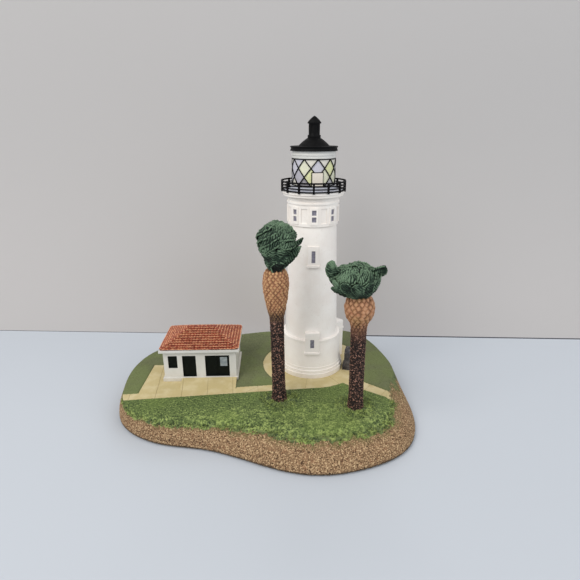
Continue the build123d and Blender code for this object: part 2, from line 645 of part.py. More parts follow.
def house_roof():
    long = HOUSE_SIZE[0] + 2 * (EAVE_OUT - TILE_INSET)
    deep = HOUSE_SIZE[1] + 2 * (EAVE_OUT - TILE_INSET)
    run = deep / 2
    rise = run * math.tan(math.radians(ROOF_PITCH))
    ridge = RIDGE_LENGTH / 2
    front = Pos(0, -run, 0) * roof_slope(long, RIDGE_LENGTH, run, rise)
    side = Pos(-long / 2, 0, 0) * Rot(0, 0, -90) * roof_slope(deep, 0, long / 2 - ridge, rise)
    roof = front + Rot(0, 0, 180) * front + side + Rot(0, 0, 180) * side
    caps = hip_cap((-ridge, 0, rise), (ridge, 0, rise))
    for x in (-1, 1):
        for y in (-1, 1):
            caps += hip_cap((x * long / 2, y * run, 0), (x * ridge, 0, rise))
    room = Box(long, deep, 4 * rise, align=(Align.CENTER, Align.CENTER, Align.MIN))
    roof += caps & room
    roof += Pos(0, 0, -ROOF_KEY[2] / 2) * Box(*ROOF_KEY)
    return at_house() * Pos(0, 0, HOUSE_SIZE[2] + FASCIA_HEIGHT) * roof


def leaning(lean, top):
    """The tilt that moves a palm's top over by its lean."""
    return Rot(0, math.degrees(math.atan2(lean, top)), 0)


def palm_trunk(place, trunk, boot, lean):
    top = boot[-1][0]
    line = Curve() + [
        Polyline((0, 0, top), (0, 0, -FOOT_SUNK), (trunk[0][1], 0, -FOOT_SUNK), (trunk[0][1], 0, 0)),
        Spline(*((radius, 0, z) for z, radius in trunk)),
        Polyline((trunk[-1][1], 0, trunk[-1][0]), (boot[0][1], 0, boot[0][0])),
        Spline(*((radius, 0, z) for z, radius in boot)),
        Polyline((boot[-1][1], 0, top), (0, 0, top)),
    ]
    body = leaning(lean, top) * revolve(make_face(line), Axis.Z)
    body -= leaning(lean, top) * Pos(0, 0, top) * Cylinder(
        HEAD_PEG_RADIUS + GLUE_GAP, 2 * (HEAD_PEG_DEPTH + HOLE_SPARE))
    body -= Cylinder(PIN_RADIUS + GLUE_GAP, 2 * (PIN_DEPTH + HOLE_SPARE))
    body -= Pos(0, 0, -5) * Box(20, 20, 10)
    return at_palm(place) * body


def palm_pin(place):
    return at_palm(place) * Cylinder(PIN_RADIUS, 2 * PIN_DEPTH)


def frond(points):
    """A leaf blade along an arch of points, in the XZ plane, lens-shaped across."""
    spine = Spline(*((out, 0, up) for out, up, half in points))
    sections = []
    for out, up, half in points:
        along = spine.tangent_at((out, 0, up))
        plane = Plane(origin=(out, 0, up), x_dir=(0, 1, 0), z_dir=along)
        sections.append(plane * Ellipse(half, FROND_THICK * (0.4 + 0.2 * half)))
    return loft(sections)


def palm_fronds(place, boot, lean, bud, fronds, shift):
    head = loft([Pos(shift * min(1, z / SHIFT_RISE), 0, z) * Circle(radius) for z, radius in bud])
    for turn, points in fronds:
        head += Pos(shift, 0, 0) * Rot(0, 0, turn) * frond(points)
    head -= Pos(0, 0, -10) * Box(40, 40, 20)
    head += Pos(0, 0, -HEAD_PEG_DEPTH / 2) * Cylinder(HEAD_PEG_RADIUS, HEAD_PEG_DEPTH)
    top = boot[-1][0]
    return at_palm(place) * leaning(lean, top) * Pos(0, 0, top) * head


def stone_marker():
    deep, foot = STONE_FOOT
    side = make_face(Polyline(
        (-deep / 2, 0), (deep / 2, 0), (deep / 2, foot), (deep / 2 - 1, foot),
        (STONE_TOP - deep / 2 + 1, STONE_BACK), (1 - deep / 2, STONE_BACK),
        (1 - deep / 2, foot), (-deep / 2, foot), close=True,
    ))
    stone = extrude(Plane.XZ * side, amount=STONE_WIDTH / 2, both=True)
    stone = chamfer(stone.edges().filter_by(Axis.Y).group_by(Axis.Z)[-1], 0.5)
    return Pos(STONE_AT[0], STONE_AT[1], PAVING_Z) * Rot(0, 0, STONE_TURN) * stone


PIECES = {
    "base_casting": base_casting,
    "felt_pad": felt_pad,
    "tower_casting": tower_casting,
    "tower_dowel": tower_dowel,
    "gallery_casting": gallery_casting,
    "gallery_railing": gallery_railing,
    "lantern_glazing": lantern_glazing,
    "lantern_lattice": lantern_lattice,
    "lantern_cornice": lantern_cornice,
    "lantern_roof": lantern_roof,
    "roof_vent": roof_vent,
    "entrance_porch": entrance_porch,
    "house_walls": house_walls,
    "house_roof": house_roof,
    "palm_left_trunk": lambda: palm_trunk(PALM_LEFT_AT, PALM_LEFT_TRUNK, PALM_LEFT_BOOT, PALM_LEFT_LEAN),
    "palm_left_fronds": lambda: palm_fronds(
        PALM_LEFT_AT, PALM_LEFT_BOOT, PALM_LEFT_LEAN, LEFT_BUD, LEFT_FRONDS, LEFT_SHIFT),
    "palm_left_pin": lambda: palm_pin(PALM_LEFT_AT),
    "palm_right_trunk": lambda: palm_trunk(
        PALM_RIGHT_AT, PALM_RIGHT_TRUNK, PALM_RIGHT_BOOT, PALM_RIGHT_LEAN),
    "palm_right_fronds": lambda: palm_fronds(
        PALM_RIGHT_AT, PALM_RIGHT_BOOT, PALM_RIGHT_LEAN, RIGHT_BUD, RIGHT_FRONDS, RIGHT_SHIFT),
    "palm_right_pin": lambda: palm_pin(PALM_RIGHT_AT),
    "stone_marker": stone_marker,
}

os.makedirs("parts", exist_ok=True)
for node, make in PIECES.items():
    export_step(make(), f"parts/{node}.step")
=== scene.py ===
# %% [markdown]
# # A lighthouse figurine, sculpted and painted
# The ornament is cast in resin from a sculpted master and painted by hand. The CAD model gives every
# casting its size and its place. Here the castings get what the sculptor and the painter leave on them:
# stippled turf, gritty earth, bark, crumpled fronds, single roof tiles, softened edges and worn paint.
# Everything is in metres, in the CAD model's own frame, and nothing on the object moves.

# %% The frame
import math
import random

import bmesh
import bpy
from mathutils import Matrix, Vector, kdtree, noise


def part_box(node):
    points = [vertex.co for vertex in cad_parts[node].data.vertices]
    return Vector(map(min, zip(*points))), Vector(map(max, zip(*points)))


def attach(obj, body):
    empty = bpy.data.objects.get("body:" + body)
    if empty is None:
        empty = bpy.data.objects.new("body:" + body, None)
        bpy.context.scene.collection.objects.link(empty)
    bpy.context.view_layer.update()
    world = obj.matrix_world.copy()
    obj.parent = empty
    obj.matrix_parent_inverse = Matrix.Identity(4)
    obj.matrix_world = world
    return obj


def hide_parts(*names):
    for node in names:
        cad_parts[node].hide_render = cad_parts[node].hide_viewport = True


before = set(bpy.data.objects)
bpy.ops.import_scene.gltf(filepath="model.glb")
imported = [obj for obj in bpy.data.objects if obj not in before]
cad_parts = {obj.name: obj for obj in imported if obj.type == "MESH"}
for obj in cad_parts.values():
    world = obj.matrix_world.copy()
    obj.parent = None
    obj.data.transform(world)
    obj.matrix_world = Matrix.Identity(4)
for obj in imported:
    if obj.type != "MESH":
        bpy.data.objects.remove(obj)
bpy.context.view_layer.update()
MM = 0.001
random.seed(20)
print(len(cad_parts), "CAD nodes")

# %% [markdown]
# ## Working habits
# Every operator acts on what is selected, so each helper first leaves only its own object selected.
# A casting that needs softer edges or several paints is shaped on a copy of its CAD mesh, welded first,
# and the copy then stands for the CAD node.

# %% Selecting, copying and finishing
WELD = 0.001 * MM
NO_AREA = 0.004 * MM


def pick(obj):
    """Leaves one object selected and active."""
    bpy.ops.object.select_all(action="DESELECT")
    obj.select_set(True)
    bpy.context.view_layer.objects.active = obj


def edit(obj, kind="FACE", action="DESELECT"):
    """Opens an object in edit mode with nothing selected."""
    pick(obj)
    bpy.ops.object.mode_set(mode="EDIT")
    bpy.ops.mesh.select_mode(type=kind)
    bpy.ops.mesh.select_all(action=action)


def edit_all(obj, kind="FACE"):
    """Opens an object in edit mode with all of it selected."""
    edit(obj, kind, "SELECT")


def leave(outward=False):
    """Ends edit mode, if asked with all faces turned outward."""
    if outward:
        bpy.ops.mesh.select_all(action="SELECT")
        bpy.ops.mesh.normals_make_consistent(inside=False)
    bpy.ops.object.mode_set(mode="OBJECT")


def select_faces(obj, test):
    """In edit mode, selects the faces whose middle and normal pass a test."""
    mesh = bmesh.from_edit_mesh(obj.data)
    for face in mesh.faces:
        face.select_set(bool(test(face.calc_center_median(), face.normal)))
    bmesh.update_edit_mesh(obj.data)


def modify(obj, kind, **settings):
    """Adds a modifier and applies it."""
    pick(obj)
    modifier = obj.modifiers.new(kind, kind)
    for name, value in settings.items():
        setattr(modifier, name, value)
    bpy.ops.object.modifier_apply(modifier=modifier.name)


def link(name, data):
    """A new object in the scene."""
    obj = bpy.data.objects.new(name, data)
    bpy.context.scene.collection.objects.link(obj)
    return obj


def copy_node(node, name):
    """A welded copy of a CAD node's mesh, as a new object."""
    obj = link(name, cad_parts[node].data.copy())
    edit_all(obj)
    bpy.ops.mesh.remove_doubles(threshold=WELD)
    bpy.ops.mesh.customdata_custom_splitnormals_clear()
    leave()
    return obj


def clean(obj):
    """Takes out faces that have no area."""
    edit_all(obj, "VERT")
    bpy.ops.mesh.remove_doubles(threshold=NO_AREA)
    bpy.ops.mesh.select_all(action="SELECT")
    bpy.ops.mesh.dissolve_degenerate(threshold=NO_AREA)
    leave()


def part_off(obj, name, test):
    """Splits the faces that pass a test off into a new object."""
    edit(obj)
    select_faces(obj, test)
    bpy.ops.mesh.separate(type="SELECTED")
    leave()
    new = next(o for o in bpy.context.selected_objects if o is not obj)
    new.name = name
    return new


def finish_piece(obj, looks, node, smooth):
    """Gives a piece its paints, lets it ride on the one body and hides the CAD node it stands for."""
    pick(obj)
    bpy.ops.object.shade_smooth_by_angle(angle=math.radians(smooth))
    kept = [face.material_index for face in obj.data.polygons]
    obj.data.materials.clear()
    for look in looks:
        obj.data.materials.append(look.material)
    obj.data.polygons.foreach_set("material_index", [min(i, len(looks) - 1) for i in kept])
    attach(obj, "root")
    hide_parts(node)
    print(obj.name, len(obj.data.polygons), "faces")


def dress_node(node, look):
    """A CAD node that stays as it is gets a better paint."""
    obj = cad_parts[node]
    obj.data.materials.clear()
    obj.data.materials.append(look.material)

# %% [markdown]
# ## Paint by nodes
# The paints are procedural and follow the object's own coordinates, so they hold from every side.
# A small wrapper lets a paint be written as arithmetic: each sum or product adds one Math node. A paint
# starts with one colour, and further colours are laid over it where a share of them shows.

# %% The paint wrapper


def srgb(color):
    """A colour as seen on a screen, 0 to 255, as the linear values that a shader takes."""
    shares = [value / 255 for value in color]
    return *(s / 12.92 if s <= 0.04045 else ((s + 0.055) / 1.055) ** 2.4 for s in shares), 1.0


class Wire:
    """One output in a paint's node tree."""

    def __init__(self, look, socket):
        self.look = look
        self.socket = socket

    def __add__(self, other):
        return self.look.math("ADD", self, other)

    def __sub__(self, other):
        return self.look.math("SUBTRACT", self, other)

    def __rsub__(self, other):
        return self.look.math("SUBTRACT", other, self)

    def __mul__(self, other):
        return self.look.math("MULTIPLY", self, other)

    def __truediv__(self, other):
        return self.look.math("DIVIDE", self, other)

    def __gt__(self, other):
        return self.look.math("GREATER_THAN", self, other)

    __radd__ = __add__
    __rmul__ = __mul__


class Look:
    """A paint under construction: a material, its colour so far and the wires in it."""

    def __init__(self, name, base):
        self.material = bpy.data.materials.new(name)
        self.material.use_nodes = True
        self.tree = self.material.node_tree
        self.shader = self.tree.nodes["Principled BSDF"]
        self.place = self.node("ShaderNodeTexCoord", out="Object")
        self.color = srgb(base)

    def node(self, kind, settings=None, inputs=None, out=0):
        """Adds a node: its settings first, then its socket values or links."""
        node = self.tree.nodes.new(kind)
        for name, value in (settings or {}).items():
            setattr(node, name, value)
        for key, value in (inputs or {}).items():
            self.feed(node.inputs[key], value)
        return Wire(self, node.outputs[out])

    def feed(self, socket, value):
        if isinstance(value, Wire):
            self.tree.links.new(value.socket, socket)
        else:
            socket.default_value = value

    def math(self, operation, a, b=0.0):
        return self.node("ShaderNodeMath", {"operation": operation}, {0: a, 1: b})

    def axes(self):
        """The x, y and z of a point, in metres."""
        split = self.tree.nodes.new("ShaderNodeSeparateXYZ")
        self.feed(split.inputs[0], self.place)
        return [Wire(self, socket) for socket in split.outputs]

    def grain(self, size, detail=3.0, stretch=(1, 1, 1)):
        """Noise with features of about a size in millimetres."""
        place = self.node("ShaderNodeMapping", None, {"Vector": self.place, "Scale": stretch})
        return self.node("ShaderNodeTexNoise", None,
                         {"Vector": place, "Scale": 1 / (size * MM), "Detail": detail})

    def kept(self, name):
        """A number kept on the mesh's points."""
        return self.node("ShaderNodeAttribute", {"attribute_name": name}, out="Fac")

    def span(self, value, low, high):
        """0 below low, 1 above high, smooth between."""
        return self.node("ShaderNodeMapRange", {"interpolation_type": "SMOOTHSTEP"},
                         {"Value": value, "From Min": low, "From Max": high})

    def spots(self, size, low, high, detail=2.0):
        """Blotches of about a size in millimetres: 0 where the noise is below low, 1 above high."""
        return self.span(self.grain(size, detail), low, high)

    def over(self, share, color):
        """Lays a colour over the paint where a share of it shows."""
        self.color = self.node("ShaderNodeMix", {"data_type": "RGBA"},
                               {0: share, 6: self.color, 7: srgb(color)}, out=2)

    def coat(self, rough, bump=None, depth=0.0, metallic=0.0, shine=0.5):
        """Ends the paint: roughness, and a bump of some depth in millimetres."""
        self.feed(self.shader.inputs["Base Color"], self.color)
        self.feed(self.shader.inputs["Roughness"], rough)
        self.shader.inputs["Metallic"].default_value = metallic
        self.shader.inputs["Specular IOR Level"].default_value = shine
        if bump is not None:
            normal = self.node("ShaderNodeBump", None, {"Height": bump, "Distance": depth * MM})
            self.feed(self.shader.inputs["Normal"], normal)
        return self


# %% [markdown]
# The white paint is a satin house paint with a little dirt low down and faint brush marks. The black is
# the same kind of paint, rubbed grey here and there. The windows are dabs of a grey-violet.

# %% Plain paints


def white_paint(name, base, other, dirt):
    look = Look(name, base)
    look.over(look.spots(9, 0.35, 0.7, 3), other)
    look.over(look.spots(1.1, 0.62, 0.75) * 0.35, dirt)
    foot = 1 - look.span(look.axes()[2], 11 * MM, 17 * MM)
    look.over(foot * look.grain(3) * 0.75, (190, 176, 152))
    brush = look.grain(0.8, 3, (1, 1, 0.25))
    return look.coat(0.42 + 0.16 * look.grain(2), brush, 0.05)


def black_paint():
    look = Look("black_paint", (4, 4, 5))
    look.over(look.spots(1.6, 0.55, 0.85, 3), (16, 16, 18))
    return look.coat(0.5 + 0.2 * look.grain(1.2), look.grain(0.5), 0.03, shine=0.15)


def plain_paint(name, base, other, rough, shine=0.5):
    """A dab of one colour that a brush left uneven."""
    look = Look(name, base)
    look.over(look.spots(1.4, 0.35, 0.7, 3), other)
    return look.coat(rough, look.grain(0.6), 0.03, shine=shine)


def felt_cloth():
    look = Look("felt", (24, 30, 26))
    fibre = look.grain(0.35, 5, (1, 1, 3))
    look.over(look.span(fibre, 0.35, 0.7), (52, 60, 50))
    return look.coat(0.95, fibre, 0.15)


def bare_steel():
    look = Look("steel", (150, 150, 154))
    draw = look.grain(0.4, 3, (1, 1, 0.05))
    look.over(draw, (190, 190, 194))
    return look.coat(0.25 + 0.2 * draw, draw, 0.01, 1.0)


WHITE = white_paint("white_paint", (240, 233, 226), (245, 240, 234), (219, 211, 201))
# A darker copy of the same white, for the house walls and the lantern's cornice.
DARKER_WHITE = white_paint("darker_white_paint", (205, 204, 199), (213, 212, 208), (192, 186, 178))
BLACK = black_paint()
PANE = plain_paint("pane_paint", (112, 110, 124), (140, 138, 150), 0.35)
# The gallery's deck is a pale grey-lavender rather than white: painted shade for the deck seen between
# the rails.
SHADED_DECK = plain_paint("shaded_deck_paint", (196, 198, 208), (212, 213, 220), 0.5)
DOOR = plain_paint("door_paint", (5, 10, 8), (11, 18, 15), 0.5, 0.15)
DOOR_PANE = plain_paint("door_pane_paint", (132, 142, 148), (160, 168, 172), 0.3)
STEEL = bare_steel()
dress_node("felt_pad", felt_cloth())
for node in ("tower_dowel", "palm_left_pin", "palm_right_pin"):
    dress_node(node, STEEL)
print("plain paints", WHITE.material.name, BLACK.material.name, STEEL.material.name)

# %% [markdown]
# ## The island
# On the master the island is clay: turf stippled with a stiff brush, a gritty bank pressed and combed
# below it, and paving trowelled flat between the lawns. The paving comes first, because it is simply
# the CAD solid's own paved faces. Its edges then tell the turf where to stay low and neat.

# %% Where things stand on the island
LAWN_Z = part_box("palm_left_trunk")[0].z
PAVING_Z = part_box("tower_casting")[0].z
RAMP_X = (-9.85 * MM, 19.15 * MM)
RAMP_Y = (-23.35 * MM, -14.8 * MM)


def middle(node):
    """The middle of a CAD node, seen from above."""
    low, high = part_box(node)
    return (low.xy + high.xy) / 2


def turned_at(point, z, turn):
    """The frame of something that stands at a point, in millimetres, and is turned."""
    return Matrix.Translation((point[0] * MM, point[1] * MM, z)) @ Matrix.Rotation(turn, 4, "Z")


PALMS = {side: middle(f"palm_{side}_pin") for side in ("left", "right")}
HOUSE_AT, HOUSE_TURN = (-60.1, -5.4), math.radians(2)
HOUSE = turned_at(HOUSE_AT, PAVING_Z, HOUSE_TURN)
HOUSE_BACK = HOUSE.inverted()
PATH_TURN = math.radians(6.9)
ARM_START, ARM_TURN = (20.0, -20.1), math.radians(-36.2)
ARM = turned_at(ARM_START, 0, ARM_TURN)
ARM_BACK = ARM.inverted()
ARM_OUTER, ARM_HALF, ARM_TAPER = 12 * MM, 4.4 * MM, 0.06
JOIN_X, JOIN_HALF, APRON_EDGE = (-4 * MM, 0.4 * MM), 4.3 * MM, 27 * MM
LEVEL = 0.02 * MM
KERB_STEP = 0.4 * MM


def in_ramp(at, margin=0.0):
    """Whether a point lies over the ramp in front of the house's doors."""
    p = HOUSE_BACK @ at
    return (RAMP_X[0] - margin < p.x < RAMP_X[1] + margin
            and RAMP_Y[0] - margin < p.y < RAMP_Y[1] + margin)


def in_arm(at):
    """Whether a point lies in the outer stretch of the path that runs off to the right."""
    p = ARM_BACK @ at
    return p.x > ARM_OUTER and abs(p.y) < ARM_HALF - ARM_TAPER * p.x


def in_join(at):
    """Whether a point lies between the tower's apron and the start of the path to the right."""
    p = ARM_BACK @ at
    return JOIN_X[0] < p.x < JOIN_X[1] and abs(p.y) < JOIN_HALF and at.xy.length > APRON_EDGE


def is_paving(at, normal):
    flat = normal.z > 0.99 and abs(at.z - PAVING_Z) < LEVEL
    return flat or (in_ramp(at, 0.05 * MM) and at.z > PAVING_Z + LEVEL and normal.z > -0.1)


def edge_points(obj, step):
    """Points along the open edges of a piece, no further apart than a step."""
    mesh = bmesh.new()
    mesh.from_mesh(obj.data)
    points = []
    for edge in mesh.edges:
        if edge.is_boundary:
            start, end = (vertex.co for vertex in edge.verts)
            count = max(1, math.ceil((end - start).length / step))
            points += [start.lerp(end, i / count) for i in range(count)]
    mesh.free()
    return points


paving_rest = copy_node("base_casting", "paving_rest")
paving = part_off(paving_rest, "paving", is_paving)
bpy.data.objects.remove(paving_rest)
kerb_points = edge_points(paving, KERB_STEP)
kerb = kdtree.KDTree(len(kerb_points))
for number, point in enumerate(kerb_points):
    kerb.insert((point.x, point.y, 0), number)
kerb.balance()
print("paving", len(paving.data.polygons), "faces and", len(kerb_points), "points along its edges")

# %% [markdown]
# One voxel remesh of the CAD solid gives an even skin that can be roughened like clay. It is split into
# turf and bank, and the turf hangs over the bank by a ragged edge; crumbs that come loose in the split
# are dropped. How far each point moved is kept on it, so that the paint can catch the high points as a
# dry brush does and leave the hollows dark.

# %% Even skin, split into turf and bank
SKIN = 0.286 * MM
PIN_HOLE, DOWEL_HOLE = 1.5 * MM, 4 * MM
PATH_MIDDLE = -24.5 * MM
BEND_Z = PAVING_Z + 0.1 * MM


def ramp01(value, low, high):
    """0 below low, 1 above high, straight between."""
    return min(1, max(0, (value - low) / (high - low)))


def wander(x, y, size):
    """A smooth random number from -1 to 1 that changes over a size in millimetres."""
    return noise.noise(Vector((x, y, size * 0.1)) / (size * MM))


def grass_line(x, y):
    """Height of the turf's lower edge, lower on the front's gentle bank and lowest on the right."""
    front = ramp01(-y, 25 * MM, 45 * MM)
    right = ramp01(x, 42 * MM, 52 * MM) * ramp01((ARM_BACK @ Vector((x, y, 0))).y, 2 * MM, 6 * MM)
    return LAWN_Z + (-1.0 - 1.5 * front - 5 * right
                     + 0.7 * wander(x, y, 7) + 0.5 * wander(x, y, 1.8)) * MM


def in_pin_hole(at):
    return any((at.xy - palm).length < PIN_HOLE for palm in PALMS.values())


def is_flat(at, normal):
    return normal.z > 0.97 and abs(at.z - PAVING_Z) < 0.15 * MM


def is_turf(at, normal):
    margin = 1 * MM if (HOUSE_BACK @ at).x < 0 else 0
    ramp = in_ramp(at, margin) or (normal.z < 0.6 and in_ramp(at, 0.5 * MM))
    end = in_arm(at) and at.z < BEND_Z
    bare = is_flat(at, normal) or ramp or in_pin_hole(at) or in_join(at) or end
    return at.z > grass_line(at.x, at.y) and normal.z > -0.1 and not bare


def in_front(at, normal):
    """Whether a point lies on the front lawn's side of the paths."""
    if at.x < ARM_START[0] * MM:
        return at.y < PATH_MIDDLE + math.tan(PATH_TURN) * at.x
    return (ARM_BACK @ at).y < 0


def is_path_end(at, normal):
    """The last of the right path, where it bends down over the island's edge."""
    return in_arm(at) and grass_line(at.x, at.y) < at.z < BEND_Z and not is_flat(at, normal)


def is_bank(at, normal):
    low = min(grass_line(at.x, at.y) + 0.5 * MM, PAVING_Z - 0.05 * MM)
    inside = in_pin_hole(at) or at.xy.length < DOWEL_HOLE
    return at.z < low and normal.z > -0.7 and not inside


def keep_largest(obj):
    """Deletes pinched corners and loose crumbs of a skin, so that one connected sheet is left."""
    mesh = bmesh.new()
    mesh.from_mesh(obj.data)
    while pinched := [v for v in mesh.verts if sum(edge.is_boundary for edge in v.link_edges) > 2]:
        bmesh.ops.delete(mesh, geom=pinched, context="VERTS")
    left, groups = set(mesh.faces), []
    while left:
        group = [left.pop()]
        for face in group:
            near = {other for edge in face.edges for other in edge.link_faces} & left
            left -= near
            group += near
        groups.append(group)
    groups.sort(key=len)
    bmesh.ops.delete(mesh, geom=[face for group in groups[:-1] for face in group], context="FACES")
    mesh.to_mesh(obj.data)
    mesh.free()


skin = copy_node("base_casting", "skin")
modify(skin, "REMESH", mode="VOXEL", voxel_size=SKIN)
turf_skin = link("turf_skin", skin.data.copy())
bank = part_off(skin, "earth_bank", is_bank)
turf = part_off(turf_skin, "turf", is_turf)
path_end = part_off(turf_skin, "path_end", is_path_end)
for left_over in (skin, turf_skin):
    bpy.data.objects.remove(left_over)
front_lawn = part_off(turf, "front_lawn", in_front)
rear_lawn = turf
rear_lawn.name = "rear_lawn"
for piece in (front_lawn, rear_lawn, bank, path_end):
    keep_largest(piece)
    print(piece.name, len(piece.data.polygons), "faces of even skin")

# %% Roughening the skin
UNDER_LAWN, UNDER_BANK, UNDER_PAVING = 8 * MM, 7 * MM, 9.5 * MM
MID_BANK, BANK_FOOT = 4 * MM, 1.02 * MM


def keep(obj, name, values):
    """Keeps a number on each point of a piece, for its paint."""
    obj.data.attributes.new(name, "FLOAT", "POINT").data.foreach_set("value", values)


def roughen(obj, height):
    """Moves each point along its normal by a height in millimetres and keeps that height on it."""
    moves = [height(vertex.co) for vertex in obj.data.vertices]
    normals = [vertex.normal.copy() for vertex in obj.data.vertices]
    for vertex, move, normal in zip(obj.data.vertices, moves, normals):
        vertex.co += normal * (move * MM)
    keep(obj, "relief", moves)
    obj.data.update()


def ridges(at, size):
    """Sharp little crests between rounded hollows, about 0 to 1."""
    return 1 - abs(noise.noise(at / (size * MM))) * 2


def select_edges(obj, test):
    """In edit mode, selects the edges that pass a test."""
    mesh = bmesh.from_edit_mesh(obj.data)
    for edge in mesh.edges:
        edge.select_set(test(edge))
    bmesh.update_edit_mesh(obj.data)


def close_under(obj, level, low=-math.inf, high=math.inf):
    """Runs a skin's open edges between two heights down to a level and closes it there."""
    edit(obj, "EDGE")
    select_edges(obj, lambda edge: edge.is_boundary and low < edge.verts[0].co.z < high)
    bpy.ops.mesh.extrude_region_move()
    bpy.ops.transform.resize(value=(1, 1, 0), center_override=(0, 0, level))
    bpy.ops.mesh.fill(use_beauty=False)
    leave(outward=True)


def off_kerb(at):
    """How far a point is from the paving's edge, in millimetres."""
    return kerb.find((at.x, at.y, 0))[2] / MM


def near_palm(at):
    """1 at a palm's foot, 0 from a few millimetres off."""
    off = min((at.xy - palm).length for palm in PALMS.values()) / MM
    return 1 - ramp01(off, 4, 13)


def hang(at):
    """0 on the level lawn, 1 where the turf hangs over the bank."""
    return ramp01(LAWN_Z - at.z, 0.2 * MM, 1.8 * MM)


def wild(at):
    """0 on the neat lawn by the paths, 1 where it is dragged up in clumps."""
    return max(hang(at), 0.8 * near_palm(at), 0.7 * ramp01(off_kerb(at), 8, 18))


def front_turf(at):
    calm = ramp01(off_kerb(at), 0.3, 3.5)
    deep = 0.08 + 0.15 * calm + 0.3 * hang(at) + 0.15 * near_palm(at)
    crests = 0.9 * ridges(at, 1.0) + 0.4 * ridges(at, 0.55) + 0.8 * wild(at) * ridges(at, 2.6)
    return deep * (crests - 0.75)


def rear_turf(at):
    calm = ramp01(off_kerb(at), 0.3, 2.5)
    return (0.04 + 0.13 * calm) * (ridges(at, 0.9) + 0.5 * ridges(at, 0.5) - 0.6)


def earth(at):
    comb = Vector((at.x, at.y, at.z * 1.3))
    return 0.28 * (ridges(comb, 0.68) + 0.7 * ridges(comb, 0.4) - 0.85)


for lawn, height in ((front_lawn, front_turf), (rear_lawn, rear_turf)):
    shade = [max(0.85 * near_palm(v.co), 0.8 * hang(v.co)) for v in lawn.data.vertices]
    clumps = [wild(v.co) for v in lawn.data.vertices]
    roughen(lawn, height)
    keep(lawn, "shade", shade)
    keep(lawn, "wild", clumps)
    close_under(lawn, UNDER_LAWN)
moss = [ramp01(v.co.z - grass_line(v.co.x, v.co.y), -1.7 * MM, 0.3 * MM) for v in bank.data.vertices]
roughen(bank, earth)
keep(bank, "moss", moss)
close_under(bank, UNDER_BANK, low=MID_BANK)
close_under(bank, BANK_FOOT, high=MID_BANK)
print("roughened", front_lawn.name, rear_lawn.name, bank.name)

# %% [markdown]
# The turf is painted an olive green, then dry-brushed with yellow-green over the high points, and given
# painted shade in dark patches where it turns down to the bank and round the palms. The front lawn is the
# brighter and rougher one. The bank gets a dark brown wash that stays in the pits and sandy tan on the
# grit.

# %% Turf and earth paints


def turf_paint(name, deep, mid, high, contrast):
    look = Look(name, deep)
    fine = look.grain(0.55, 2)
    clump = look.kept("wild") * (look.grain(2.2, 2) - 0.5)
    level = look.kept("relief") + contrast * (look.grain(0.85, 2) + 0.5 * fine - 0.75 + clump)
    look.over(look.span(level, -0.28, 0.04), mid)
    look.over(look.span(level, 0.04, 0.34), high)
    look.over(look.spots(18, 0.42, 0.62) * 0.22, (118, 138, 64))
    # Painted shade: dark bluish patches where the turf turns down to the bank and round the palms' feet.
    look.over(look.kept("shade") * look.spots(3.6, 0.42, 0.58) * 0.75, (56, 68, 56))
    return look.coat(0.8, fine, 0.1, shine=0.3)


def earth_paint():
    look = Look("earth_paint", (64, 45, 31))
    fine = look.grain(0.5, 3)
    level = look.kept("relief") + 1.15 * (look.grain(0.62, 2) - 0.5) + 0.4 * (fine - 0.5)
    look.over(look.span(level, -0.3, 0.02), (136, 108, 79))
    look.over(look.span(level, 0.02, 0.3), (198, 170, 132))
    look.over(look.spots(1.6, 0.56, 0.7) * 0.35, (140, 96, 68))
    look.over(look.kept("moss") * look.spots(1.3, 0.36, 0.6) * 0.8, (98, 100, 58))
    # Painted shadow: a dark band along the bank's foot, where the island meets the table.
    foot = 1 - look.span(look.axes()[2] + 0.5 * MM * (look.grain(1.5, 2) - 0.5), 1.3 * MM, 2.1 * MM)
    look.over(foot * 0.8, (48, 40, 30))
    return look.coat(0.85, fine, 0.15, shine=0.3)


FRONT_TURF = turf_paint("front_turf_paint", (40, 52, 28), (90, 106, 57), (148, 162, 94), 1.0)
REAR_TURF = turf_paint("rear_turf_paint", (70, 76, 49), (100, 105, 72), (126, 132, 95), 0.5)
for piece, look in ((front_lawn, FRONT_TURF), (rear_lawn, REAR_TURF), (bank, earth_paint())):
    finish_piece(piece, [look], "base_casting", 80)

# %% [markdown]
# The paving has slab joints scribed across it. It is cut along the joint lines; each cut is widened to a
# strip and sunk. A slab of its own closes the strip between the tower's apron and the right path.

# %% Paving with scribed joints
PATH_JOINT = (-28.5, -28.0)
PATH_JOINTS = 6
SLAB_LENGTH = 13.0
APRON_JOINTS = (-8, 32, -48)
ARM_JOINTS = (11, 20)
JOINT_WIDTH = 0.1 * MM
JOINT_DEPTH = 0.14 * MM


def along(start, turn, distance):
    """The point at a distance from a start, in a direction."""
    return start[0] + distance * math.cos(turn), start[1] + distance * math.sin(turn)


def scribe(lines):
    """Cuts the paving along lines, each through a point and at right angles to a direction."""
    edit_all(paving)
    bpy.ops.mesh.dissolve_limited(angle_limit=math.radians(1))
    bpy.ops.mesh.select_mode(type="EDGE")
    for point, turn in lines:
        bpy.ops.mesh.select_all(action="SELECT")
        across = (math.cos(turn), math.sin(turn), 0)
        bpy.ops.mesh.bisect(plane_co=(point[0] * MM, point[1] * MM, 0), plane_no=across)
        bpy.ops.mesh.mark_seam()
    leave()


